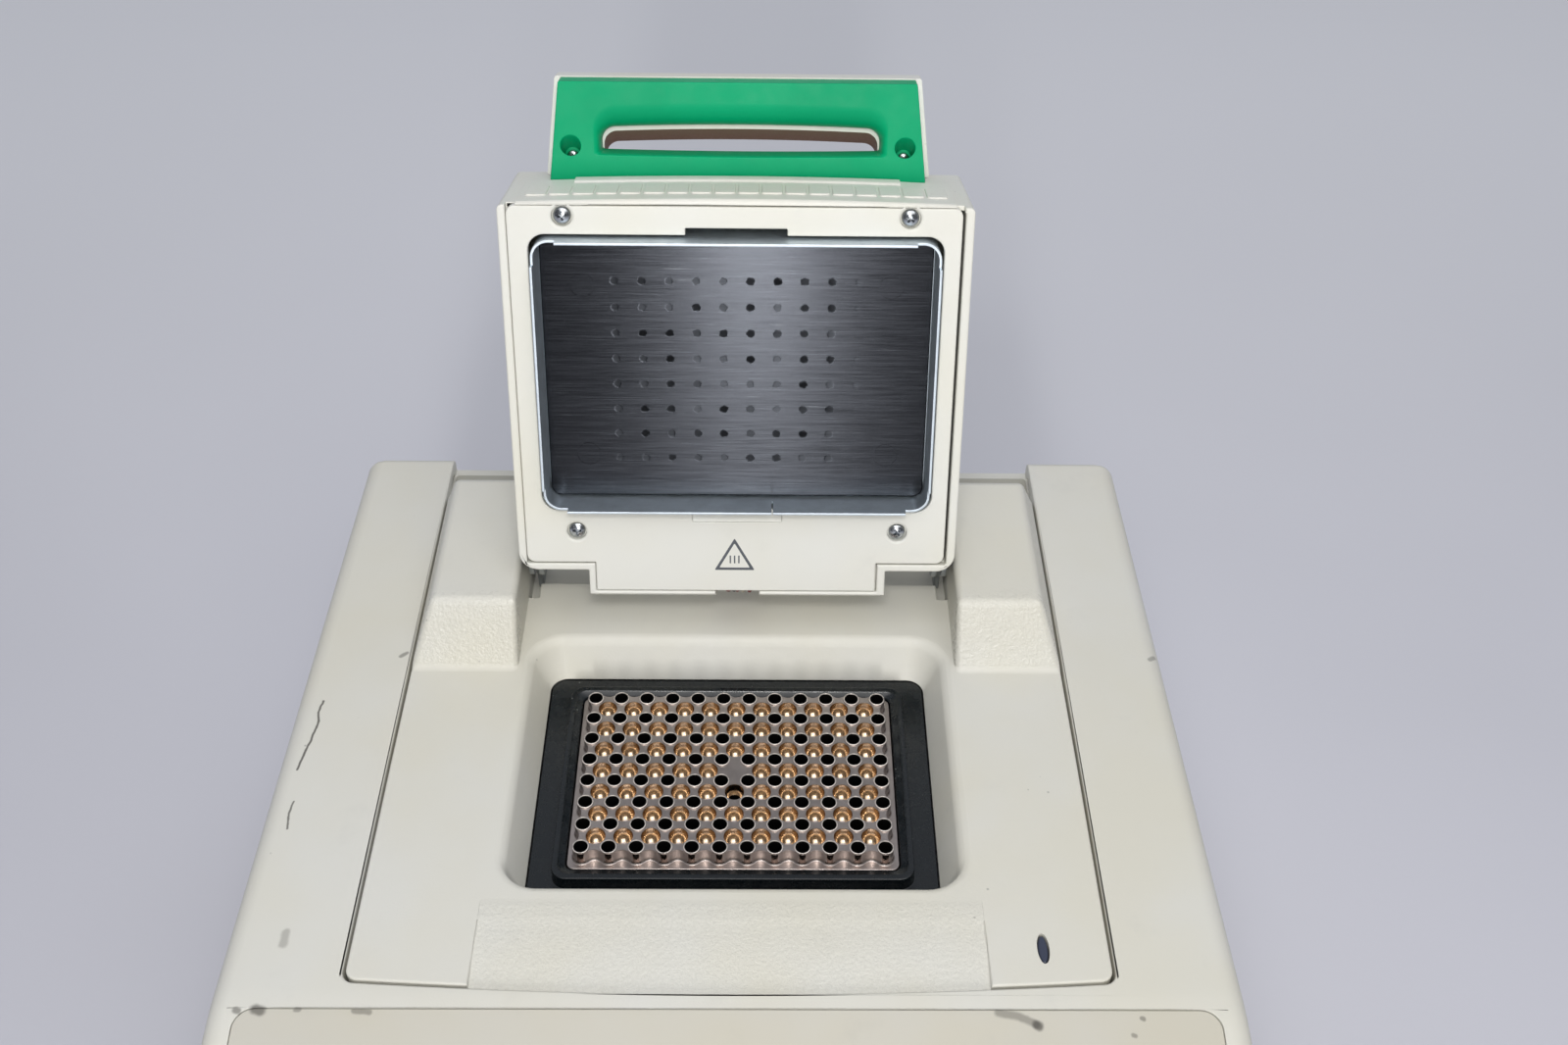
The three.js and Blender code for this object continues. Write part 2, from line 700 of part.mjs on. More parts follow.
const wells = [];
for (let column = 0; column < WELL_COLUMNS; column++) {
  for (let row = 0; row < WELL_ROWS; row++) {
    const x = (column - (WELL_COLUMNS - 1) / 2) * WELL_PITCH;
    const y = (row - (WELL_ROWS - 1) / 2) * WELL_PITCH;
    wells.push(cylinder(WELL_RADIUS, "z", [x, y], [-WELL_DEPTH, 1], 8));
  }
}
const blockBody = joined(
  rectangle(BLOCK_HALF[0], BLOCK_HALF[1], 2.5, [BLOCK_BOTTOM, BLOCK_LEDGE]),
  rectangle(WELL_BODY_HALF[0], WELL_BODY_HALF[1], 2.5, [-10, 0]),
);
place("sample_block", cut(blockBody, ...wells), BLOCK_METAL);

for (let i = 0; i < 3; i++) {
  const x = (i - 1) * 36;
  place(
    `peltier_module_${i + 1}`,
    box([x - 17, x + 17], [-34, 34], [SINK_TOP + GAP, BLOCK_BOTTOM - GAP]),
    CERAMIC,
  );
}

const FINS = 18;
const finPitch = (2 * SINK_HALF[0] - 2) / (FINS - 1);
const finGaps = Array.from({ length: FINS - 1 }, (_, i) => {
  const x = -SINK_HALF[0] + 1 + (i + 0.5) * finPitch;
  return box([x - 2.8, x + 2.8], [-80, 80], [SINK_BOTTOM - 1, SINK_TOP - 8]);
});
const heatSink = cut(
  box([-SINK_HALF[0], SINK_HALF[0]], [-SINK_HALF[1], SINK_HALF[1]], [SINK_BOTTOM, SINK_TOP]),
  ...finGaps,
);
place("heat_sink", heatSink, ALUMINIUM);

const PLATE_TOP = COVER_BOTTOM - GAP;
const moduleBase = cut(
  joined(
    box([-111, 111], [-78, 136], [PLATE_TOP - 2.5, PLATE_TOP]),
    ...SIDES.map(([, s]) => box([s * 80 - 0.8, s * 80 + 0.8], [-70, 104], [-100, PLATE_TOP - 1])),
  ),
  box([-57, 57], [-40, 40], [-30, -20]),
);
place("module_base", moduleBase, ALUMINIUM);
const moduleBoard = joined(
  box([92, 94], [4, 110], [-88, PLATE_TOP - 2.5 - GAP]),
  box([93, 103], [20, 50], [-70, -40]),
  box([93, 99], [60, 100], [-60, -44]),
);
place("module_board", moduleBoard, BOARD);
const modulePlug = joined(
  box([87, 99], [22, 82], [-97, -88 - GAP]),
  box([91, 95], [26, 78], [-101.5, -96]),
);
place("module_plug", modulePlug, BLACK);

const bracketLeg = outline([
  [HINGE.y + 1.4, HINGE.z - 4.6],
  [88, 5],
  [88, LEDGE + GAP],
  [104, LEDGE + GAP],
  [104, 2],
  [92, 10],
  [HINGE.y + 4.6, HINGE.z - 1.4],
]);
for (const [side, s] of SIDES) {
  const thickness = [s * 74.6 - 1, s * 74.6 + 1];
  const bracket = cut(
    joined(prism(bracketLeg, "x", thickness), cylinder(4.8, "x", [HINGE.y, HINGE.z], thickness, 16)),
    cylinder(SHAFT_RADIUS + 0.4, "x", [HINGE.y, HINGE.z], [-90, 90], 12),
  );
  place(`hinge_bracket_${side}`, bracket, STEEL);
}
place("hinge_shaft", cylinder(SHAFT_RADIUS, "x", [HINGE.y, HINGE.z], [-76.3, 76.3], 12), ZINC);

// ---- Lid ----

// The lid's side view: (distance from the hinge, height over it).
function lidProfile(inset) {
  return outline([
    [LID_START + inset, LID_FACE + 1],
    [LID_START + inset, -8],
    [8 + inset * 0.9, -20 + inset * 0.4],
    [16 + inset * 0.6, -27 + inset * 0.8],
    [28, LID_BACK + inset],
    [LID_END - (inset ? 1.7 : 0), LID_BACK + inset],
    [LID_END - (inset ? 1.7 : 0), LID_FACE + 1],
  ]);
}

const WHEEL_RADIUS = 21.5;
const wheelAt = [0, PLATE_CENTRE];

function lidShell() {
  const half = LID_HALF_WIDTH;
  const plan = new THREE.Shape();
  plan.absarc(half - 6.5, LID_START + 6.5, 6.5, -Math.PI / 2, 0);
  plan.lineTo(half, LID_END);
  plan.lineTo(-half, LID_END);
  plan.absarc(-half + 6.5, LID_START + 6.5, 6.5, Math.PI, 1.5 * Math.PI);
  const sides = prism(lidProfile(0), "x", [-half, half]);
  const outer = sides.intersect(prism(plan, "z", [LID_BACK - 1, LID_FACE]));
  const room = prism(lidProfile(SKIN), "x", [-half + SKIN, half - SKIN]);
  const rebate = joined(
    box([-INNER_HALF_WIDTH - GAP, INNER_HALF_WIDTH + GAP], [INNER_START - GAP, 150], [COVER_SEAT, 30]),
    box([-TAB_HALF_WIDTH - GAP, TAB_HALF_WIDTH + GAP], [TAB_START - GAP, 20], [COVER_SEAT, 30]),
  );
  const barrel = cylinder(12, "x", [0, 0], [-LIP_HALF_WIDTH + 0.4, LIP_HALF_WIDTH - 0.4], 24);
  const lip = box([-LIP_HALF_WIDTH, LIP_HALF_WIDTH], [LIP_START, LID_START + SKIN], [0, LID_FACE]);
  const wheelFloor = cylinder(WHEEL_RADIUS + 5, "z", wheelAt, [LID_BACK + 2, -22.5], 24);
  return cut(
    joined(cut(outer, room), barrel, lip, wheelFloor),
    rebate,
    cylinder(WHEEL_RADIUS + 2, "z", wheelAt, [LID_BACK - 2, -25.5], 24),
    cylinder(4.6, "z", wheelAt, [-40, 0], 12),
    cylinder(SHAFT_RADIUS + 0.5, "x", [0, 0], [-90, 90], 12),
    box([-CABLE_NOTCH, CABLE_NOTCH], [-20, 9], [-12.5, COVER_SEAT + 0.1]),
    box([-CABLE_NOTCH, CABLE_NOTCH], [-20, TAB_START - GAP], [10, 20]),
    ...SIDES.map(([, s]) => box([s * 71 - 1.5, s * 71 + 1.5], [-20, 12], [-7, 8])),
  );
}
place("lid_shell", lidShell(), BEIGE, lid);

const LID_SCREWS = [
  [-55.8, 131.8],
  [55.8, 131.8],
  [-55.8, 20.4],
  [55.8, 20.4],
];

function lidInnerCover() {
  const thickness = [COVER_SEAT + GAP, LID_FACE];
  const plan = roundedRect(-INNER_HALF_WIDTH, INNER_HALF_WIDTH, INNER_START, LID_END - 0.2, 3);
  const plate = joined(
    prism(plan, "z", thickness),
    box([-TAB_HALF_WIDTH, TAB_HALF_WIDTH], [TAB_START, 20], thickness),
  );
  const { halfX, from, to, radius } = WINDOW;
  const notch = (y) => box([-15.2, 15.2], [y - 2.2, y + 2.2], [10, 20]);
  return cut(
    plate,
    prism(roundedRect(-halfX, halfX, from, to, radius), "z", [10, 20]),
    notch(from),
    notch(to),
    ...LID_SCREWS.flatMap((at) => [
      cylinder(3.25, "z", at, [15.2, 20], 16),
      cylinder(1.9, "z", at, [10, 20], 12),
    ]),
  );
}
place("lid_inner_cover", lidInnerCover(), BEIGE, lid);

LID_SCREWS.forEach((at, i) => {
  const screw = joined(
    cylinder(2.85, "z", at, [15.5, LID_FACE - 0.3], 16),
    cylinder(1.5, "z", at, [6, 16], 8),
  );
  place(`lid_screw_${i + 1}`, screw, ZINC, lid);
});

const NOSE_HALF = 70.5;
function lidNoseGrip() {
  const bow = new THREE.Shape();
  bow.moveTo(-NOSE_HALF, LID_END + GAP);
  bow.lineTo(NOSE_HALF, LID_END + GAP);
  bow.lineTo(NOSE_HALF - 1, LID_END + 0.9);
  bow.quadraticCurveTo(0, LID_END + 3.5, -NOSE_HALF + 1, LID_END + 0.9);
  const bar = prism(bow, "z", [-11.4, LID_FACE], 6);
  const RIBS = 18;
  const ribPitch = 7.63;
  const grooves = Array.from({ length: RIBS - 1 }, (_, i) => {
    const x = (i - (RIBS - 2) / 2) * ribPitch;
    return box([x - 0.9, x + 0.9], [LID_END + 1.1, LID_END + 5], [-12, LID_FACE - 6]);
  });
  return cut(bar, ...grooves);
}
place("lid_nose_grip", lidNoseGrip(), BEIGE, lid);

// The handle is a green grip under a beige cover, with a slot for the fingers.
const HANDLE_SCREWS = [
  [-55.7, 147.5],
  [55.7, 147.5],
];
const HANDLE_SEAT = -21; // where the screw heads rest in the grip
function handlePlan(halfStart, halfEnd, end) {
  const start = LID_END + GAP;
  return outline([
    [-halfStart, start],
    [halfStart, start],
    [halfEnd, end - 4],
    [halfEnd - 1.2, end - 1.2],
    [halfEnd - 4, end],
    [-halfEnd + 4, end],
    [-halfEnd + 1.2, end - 1.2],
    [-halfEnd, end - 4],
  ]);
}
const rolledEdge = outline([
  [152.4, HANDLE_SPLIT],
  [154.2, HANDLE_SPLIT + 3.4],
  [157.2, HANDLE_SPLIT + 6.2],
  [160.4, HANDLE_FACE + 1],
  [150, HANDLE_FACE + 1],
  [150, HANDLE_SPLIT],
]);
// Behind the grip the slot leads down and out of the cover.
const slotBack = outline([
  [138, LID_BACK - 1],
  [145.2, LID_BACK - 1],
  [152.4, HANDLE_SPLIT + 1],
  [138, HANDLE_SPLIT + 1],
]);
const handleGrip = cut(
  prism(handlePlan(63, 59, HANDLE_END), "z", [HANDLE_SPLIT + GAP, HANDLE_FACE]),
  prism(roundedRect(-SLOT_HALF, SLOT_HALF, 144.8, 152.4, 3.5), "z", [-40, 0]),
  prism(rolledEdge, "x", [-SLOT_HALF + 1, SLOT_HALF - 1]),
  ...HANDLE_SCREWS.flatMap((at) => [
    cylinder(3.35, "z", at, [HANDLE_SEAT, 0], 16),
    cylinder(1.9, "z", at, [-40, 0], 12),
  ]),
);
place("handle_grip", handleGrip, GREEN, lid);
const handleCover = cut(
  prism(handlePlan(65, 61, HANDLE_END + 0.4), "z", [LID_BACK, HANDLE_SPLIT]),
  prism(slotBack, "x", [-SLOT_HALF, SLOT_HALF]),
  ...HANDLE_SCREWS.map((at) => cylinder(1.9, "z", at, [-28, 0], 12)),
);
place("handle_cover", handleCover, BEIGE, lid);
HANDLE_SCREWS.forEach((at, i) => {
  const screw = joined(
    cylinder(2.6, "z", at, [HANDLE_SEAT + GAP, HANDLE_SEAT + 2], 16),
    cylinder(1.5, "z", at, [-27, HANDLE_SEAT + 1], 8),
  );
  place(`handle_screw_${i + 1}`, screw, ZINC, lid);
});

for (const [side, s] of SIDES) {
  const thickness = [s * 71 - 1, s * 71 + 1];
  const arm = cut(
    joined(
      cylinder(5, "x", [0, 0], thickness, 16),
      box(thickness, [0, 60], [-4, 5]),
    ),
    cylinder(SHAFT_RADIUS + 0.4, "x", [0, 0], [-90, 90], 12),
  );
  place(`hinge_arm_${side}`, arm, STEEL, lid);
}

const cableRoute = new THREE.CatmullRomCurve3(
  [
    [22, 10],
    [10, 11],
    [0, 11],
    [-6.5, 8.5],
    [-9.6, 2.5],
    [-9.4, -4],
  ].map(([y, z]) => new THREE.Vector3(0, y, z)),
);
const cableSection = new THREE.Shape();
cableSection.absarc(0, 0, 1.8, 0, 2 * Math.PI);
const lidCable = solid(
  new THREE.ExtrudeGeometry(cableSection, { steps: 14, extrudePath: cableRoute, curveSegments: 4 }),
);
place("lid_cable", lidCable, WIRE, lid);

// ---- Heated plate, pressed down by a wheel on the lid ----

const TRAY = { halfX: 66.2, from: 29.9, to: 124.9, back: 4.5, front: 23.6, sheet: 1 };
function heaterTray() {
  const { halfX, from, to, back, front, sheet } = TRAY;
  const inside = box(
    [-halfX + sheet, halfX - sheet],
    [from + sheet, to - sheet],
    [back + 1.3, front + 1],
  );
  const corners = [-1, 1].flatMap((s) =>
    [from, to].map((y) => box([s * halfX - 8, s * halfX + 8], [y - 8, y + 8], [back + 2, front + 1])),
  );
  return cut(box([-halfX, halfX], [from, to], [back, front]), inside, ...corners);
}
place("heater_tray", heaterTray(), STEEL, lid);
const plateSpan = [PLATE_CENTRE - 45.6, PLATE_CENTRE + 45.6];
place("heated_plate", box([-64.6, 64.6], plateSpan, [7.2, 10.8]), BLACK_ANODISED, lid);
const matSpan = [PLATE_CENTRE - 37, PLATE_CENTRE + 37];
place("heater_mat", box([-55, 55], matSpan, [6.1, 6.9]), SILICONE, lid);
const heaterCarrier = cut(
  joined(
    box([-50, 50], [PLATE_CENTRE - 7, PLATE_CENTRE + 7], [-3, 0]),
    box([-7, 7], [PLATE_CENTRE - 36, PLATE_CENTRE + 36], [-3, 0]),
    cylinder(9, "z", wheelAt, [-16, -1], 16),
    ...[-46, 46].map((x) => cylinder(4, "z", [x, PLATE_CENTRE], [-1, TRAY.back - GAP], 10)),
    ...[-31, 31].map((y) => cylinder(4, "z", [0, PLATE_CENTRE + y], [-1, TRAY.back - GAP], 10)),
  ),
  cylinder(4.4, "z", wheelAt, [-20, 0.5], 12),
);
place("heater_carrier", heaterCarrier, ALUMINIUM, lid);

const scallops = Array.from({ length: 14 }, (_, i) => {
  const angle = (i / 14) * 2 * Math.PI;
  const at = [
    (WHEEL_RADIUS + 1.6) * Math.cos(angle),
    PLATE_CENTRE + (WHEEL_RADIUS + 1.6) * Math.sin(angle),
  ];
  return cylinder(2.8, "z", at, [-50, 0], 8);
});
const pressureWheel = cut(cylinder(WHEEL_RADIUS, "z", wheelAt, [-37.5, -25.8], 28), ...scallops);
place("pressure_wheel", pressureWheel, BEIGE_DARK, lid);
place("pressure_screw", cylinder(4, "z", wheelAt, [-25.8 + GAP, -6], 12), ZINC, lid);

export default instrument;
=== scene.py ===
"""Looks of a benchtop thermal cycler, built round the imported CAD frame.

Shapes are drawn in millimetres in one of three frames: BENCH, from the centre of the well grid at the
height of the well mouths, LID, from the hinge axis (Y towards the handle, Z out of the lid's face), and
PANEL, from the fold where the sloping control panel starts. place() turns them into metres.
"""

import json
import math

import bmesh
import bpy
from mathutils import Matrix, Vector


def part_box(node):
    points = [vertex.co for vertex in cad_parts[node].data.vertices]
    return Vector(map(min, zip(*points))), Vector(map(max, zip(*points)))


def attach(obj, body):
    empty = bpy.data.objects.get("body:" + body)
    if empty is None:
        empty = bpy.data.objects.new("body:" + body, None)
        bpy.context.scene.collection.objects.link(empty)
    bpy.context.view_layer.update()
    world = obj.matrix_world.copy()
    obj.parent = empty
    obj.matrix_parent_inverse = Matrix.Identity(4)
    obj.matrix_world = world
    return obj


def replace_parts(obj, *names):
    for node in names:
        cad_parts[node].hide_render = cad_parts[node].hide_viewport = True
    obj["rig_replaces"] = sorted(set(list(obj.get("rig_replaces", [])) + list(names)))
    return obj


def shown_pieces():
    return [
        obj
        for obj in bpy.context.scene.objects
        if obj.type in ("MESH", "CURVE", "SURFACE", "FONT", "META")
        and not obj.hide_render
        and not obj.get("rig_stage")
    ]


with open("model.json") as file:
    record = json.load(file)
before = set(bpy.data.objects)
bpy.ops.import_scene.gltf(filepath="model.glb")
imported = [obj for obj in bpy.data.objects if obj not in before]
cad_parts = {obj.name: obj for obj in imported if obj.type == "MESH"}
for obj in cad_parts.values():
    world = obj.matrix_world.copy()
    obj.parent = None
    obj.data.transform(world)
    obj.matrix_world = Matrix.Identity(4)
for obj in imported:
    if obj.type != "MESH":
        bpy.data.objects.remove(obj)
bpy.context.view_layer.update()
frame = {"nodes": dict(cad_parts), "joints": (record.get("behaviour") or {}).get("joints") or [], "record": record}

MM = 0.001
JOINTS = {joint["name"]: joint for joint in frame["joints"]}
SLOT_OF = {part["node"]: part["material_slot"] for part in frame["record"]["subparts"]}
BODY_OF = {
    node: body for body, nodes in frame["record"]["behaviour"]["bodies"].items() for node in nodes
}


# ---- Frames, taken from the CAD model ----


def axes_frame(origin, x, z):
    """A matrix whose X and Z point along the given axes."""
    x, z = Vector(x).normalized(), Vector(z).normalized()
    y = z.cross(x)
    turned = Matrix((x, y, z)).transposed().to_4x4()
    return Matrix.Translation(origin) @ turned


block_low, block_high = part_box("sample_block")
GRID = Vector((0, (block_low.y + block_high.y) / 2, block_high.z))
BENCH = Matrix.Translation(GRID)
LID = axes_frame(JOINTS["lid_hinge"]["pos_m"], (1, 0, 0), JOINTS["wheel_turn"]["axis"])
PANEL_START = -92
DECK = 4
PANEL_TILT = math.radians(12)
PANEL = BENCH @ Matrix.Translation((0, PANEL_START * MM, DECK * MM)) @ Matrix.Rotation(PANEL_TILT, 4, "X")

# ---- Main sizes, as in the CAD model ----

FLOOR = -186
SPLIT = -84
FRONT = -296
BACK = 156
HALF_WIDTH_BACK = 151.5
HALF_WIDTH_FRONT = 157.9
WALL = 4
SKIN = 3
GAP = 0.3
MODULE_HALF_WIDTH = 115.6
MODULE_FRONT = -82.6
MODULE_BACK = 140
MODULE_BULGE = 3.5
MODULE_ROOM = 0.8  # the gap round the module
LEDGE = -2
LEDGE_START = 84.2
SHOULDER_INNER = 77.7
SHOULDER_TOP = 27
WELL_PITCH = 9
COLUMNS = 12
ROWS = 8
LID_FACE = 17.6
LID_BACK = -30.4
LID_END = 135.5
LID_HALF_WIDTH = 76.5
PLATE_CENTRE = 77.25
PATCH = {"half": 78.4, "start": -60, "grain_start": -54}
SIDES = (("left", -1), ("right", 1))


# ---- Outlines ----


def arc(centre, radius, start, end, steps=8):
    """Points on an arc, or on an ellipse's if the radius is a pair. Angles in degrees."""
    a, b = radius if isinstance(radius, tuple) else (radius, radius)
    angles = [math.radians(start + (end - start) * i / steps) for i in range(steps + 1)]
    return [(centre[0] + a * math.cos(t), centre[1] + b * math.sin(t)) for t in angles]


def circle(centre, radius, steps=32):
    return arc(centre, radius, 0, 360, steps)[:-1]


def rounded(x0, x1, y0, y1, radius, steps=8):
    """A rectangle with round corners."""
    r = radius
    return [
        *arc((x1 - r, y0 + r), r, -90, 0, steps),
        *arc((x1 - r, y1 - r), r, 0, 90, steps),
        *arc((x0 + r, y1 - r), r, 90, 180, steps),
        *arc((x0 + r, y0 + r), r, 180, 270, steps),
    ]


def centred(half_x, half_y, radius, steps=8):
    return rounded(-half_x, half_x, -half_y, half_y, radius, steps)


def at_height(points, z):
    return [(x, y, z) for x, y in points]


# ---- Solids, in millimetres ----

ORDER = {"x": (1, 2, 0), "y": (2, 0, 1), "z": (0, 1, 2)}


def along(axis, a, b, c):
    """The point at (a, b) of an outline drawn across an axis, at c along it."""
    point = [0, 0, 0]
    for index, value in zip(ORDER[axis], (a, b, c)):
        point[index] = value
    return point


def piece_of(mesh, name="piece"):
    data = bpy.data.meshes.new(name)
    mesh.to_mesh(data)
    mesh.free()
    made = bpy.data.objects.new(name, data)
    bpy.context.scene.collection.objects.link(made)
    return made


def solid(rings, closed=False):
    """A skin over rings of points. It is capped at both ends, or runs back to its first ring if closed."""
    mesh = bmesh.new()
    rows = [[mesh.verts.new(point) for point in ring] for ring in rings]
    count = len(rows[0])
    above = rows[1:] + rows[:1] if closed else rows[1:]
    for low, high in zip(rows, above):
        for i in range(count):
            j = (i + 1) % count
            mesh.faces.new((low[i], low[j], high[j], high[i]))
    if not closed:
        mesh.faces.new(rows[0])
        mesh.faces.new(rows[-1])
    bmesh.ops.recalc_face_normals(mesh, faces=mesh.faces)
    return piece_of(mesh)


def prism(points, axis, low, high):
    return solid([[along(axis, a, b, level) for a, b in points] for level in (low, high)])


def block(xs, ys, zs):
    return prism([(xs[0], ys[0]), (xs[1], ys[0]), (xs[1], ys[1]), (xs[0], ys[1])], "z", *zs)


def slab(points, axis, low, high, edge, steps=3):
    """A prism whose two rims are rounded. The outline is convex and holds the axis, or nearly so."""
    middle = [sum(values) / len(points) for values in zip(*points)]

    def towards(value, centre, inset):
        gap = value - centre
        return value - math.copysign(min(inset, abs(gap)), gap)

    def drawn_in(inset):
        return [[towards(value, centre, inset) for value, centre in zip(point, middle)] for point in points]

    rings = []
    for i in range(steps + 1):
        turn = i / steps * math.pi / 2
        rings.append((edge * (1 - math.sin(turn)), low + edge * (1 - math.cos(turn))))
    rings += [(inset, high + low - level) for inset, level in reversed(rings)]
    return solid([[along(axis, a, b, level) for a, b in drawn_in(inset)] for inset, level in rings])


def turned(profile, centre=(0, 0), axis="z", steps=32):
    """A lathed solid from (radius, height) points, closed at its first and last height."""
    rings = []
    for radius, height in profile:
        ring = circle(centre, max(radius, 0.01), steps)
        rings.append([along(axis, a, b, height) for a, b in ring])
    return solid(rings)


def swept(path, radius, steps=10):
    """A round wire along points, with its ends capped."""
    rings = []
    for i, point in enumerate(path):
        ahead = Vector(path[min(i + 1, len(path) - 1)]) - Vector(path[max(i - 1, 0)])
        turn = ahead.to_track_quat("Z", "Y")
        rings.append([Vector(point) + turn @ Vector((a, b, 0)) for a, b in circle((0, 0), radius, steps)])
    return solid(rings)


def ring_wire(centre, axis, radius, wire, steps=64):
    """A closed round hoop about an axis. The centre is (a, b, c) in that axis's order."""
    rings = []
    for a, b in circle((0, 0), 1, steps):
        section = circle((radius, 0), wire, 10)
        rings.append([along(axis, centre[0] + a * r, centre[1] + b * r, centre[2] + h) for r, h in section])
    return solid(rings, closed=True)


def merged(*pieces):
    """Several separate solids as one object."""
    mesh = bmesh.new()
    for piece in pieces:
        mesh.from_mesh(piece.data)
        bpy.data.objects.remove(piece)
    return piece_of(mesh)


def moved(piece, offset=(0, 0, 0), turn=0, axis="Z"):
    piece.data.transform(Matrix.Translation(offset) @ Matrix.Rotation(math.radians(turn), 4, axis))
    return piece


def applied(piece):
    """The piece with its modifiers made into mesh."""
    graph = bpy.context.evaluated_depsgraph_get()
    data = bpy.data.meshes.new_from_object(piece.evaluated_get(graph))
    piece.modifiers.clear()
    piece.data = data
    return piece


def combined(body, operation, *tools):
    for tool in tools:
        step = body.modifiers.new("step", "BOOLEAN")
        step.operation = operation
        step.solver = "MANIFOLD"
        step.object = tool
    applied(body)
    for tool in tools:
        bpy.data.objects.remove(tool)
    return body


def cut(body, *tools):
    return combined(body, "DIFFERENCE", *tools)


def joined(body, *tools):
    return combined(body, "UNION", *tools)


def common(body, *tools):
    return combined(body, "INTERSECT", *tools)


def tidied(piece, **seams):
    """Flat areas become single faces, so that only real edges are left to round.

    Seams, such as x=(0, 20), are planes through the holes of large faces. They leave every face a plain
    outline without a hole, which stays intact when its edges are rounded.
    """
    mesh = bmesh.new()
    mesh.from_mesh(piece.data)
    bmesh.ops.remove_doubles(mesh, verts=mesh.verts, dist=1e-3)
    for axis, places in seams.items():
        for place_on_axis in places:
            point, normal = ([value if name == axis else 0 for name in "xyz"] for value in (place_on_axis, 1))
            parts = mesh.verts[:] + mesh.edges[:] + mesh.faces[:]
            halved = bmesh.ops.bisect_plane(mesh, geom=parts, dist=1e-4, plane_co=point, plane_no=normal)
            for item in halved["geom_cut"]:
                if isinstance(item, bmesh.types.BMEdge):
                    item.seam = True
    bmesh.ops.dissolve_limit(mesh, angle_limit=0.004, verts=mesh.verts, edges=mesh.edges, delimit={"SEAM"})
    mesh.to_mesh(piece.data)
    mesh.free()
    return piece


def softened(piece, width, segments=3, sharper_than=28, wanted=None):
    """Rounds the sharp edges. wanted(midpoint) may give an edge's own width, up to width."""
    mesh = bmesh.new()
    mesh.from_mesh(piece.data)
    weight = mesh.edges.layers.float.new("bevel_weight_edge")
    for edge in mesh.edges:
        if len(edge.link_faces) == 2 and edge.calc_face_angle(0) > math.radians(sharper_than):
            middle = (edge.verts[0].co + edge.verts[1].co) / 2
            own = width if wanted is None else wanted(middle)
            edge[weight] = min(1.0, own / width)
    mesh.to_mesh(piece.data)
    mesh.free()
    rounding = piece.modifiers.new("rounding", "BEVEL")
    rounding.limit_method = "WEIGHT"
    rounding.width = width
    rounding.segments = segments
    rounding.miter_outer = "MITER_ARC"
    rounding.use_clamp_overlap = False
    return applied(piece)


def shaded(piece, smooth_below=32):
    """Smooth shading up to an angle, with the large faces kept flat."""
    piece.data.shade_smooth()
    piece.data.set_sharp_from_angle(angle=math.radians(smooth_below))
    weighing = piece.modifiers.new("weighing", "WEIGHTED_NORMAL")
    weighing.keep_sharp = True
    return applied(piece)


def place(piece, name, grid, look, node=None, body=None, smooth_below=32):
    shaded(piece, smooth_below)
    piece.name = name
    piece.data.name = name
    piece.data.transform(Matrix.Scale(MM, 4))
    piece.matrix_world = grid
    looks = look if isinstance(look, list) else [look]
    indices = [face.material_index for face in piece.data.polygons]
    piece.data.materials.clear()
    for one in looks:
        piece.data.materials.append(one)
    piece.data.polygons.foreach_set("material_index", indices)
    stands_for = [node] if node else []
    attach(piece, body or BODY_OF[stands_for[0]])
    if stands_for:
        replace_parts(piece, *stands_for)
    return piece


def paint(piece, chooser):
    """Sets each face's material index from its centre and normal, in the piece's own millimetres."""
    for face in piece.data.polygons:
        face.material_index = chooser(face.center, face.normal)
    return piece


# ---- Materials ----


def srgb(red, green, blue):
    """Linear colour from 8-bit display values."""
    shares = [value / 255 for value in (red, green, blue)]
    return tuple(((share + 0.055) / 1.055) ** 2.4 if share > 0.04 else share / 12.92 for share in shares)


def rgba(red, green, blue):
    return (*srgb(red, green, blue), 1.0)


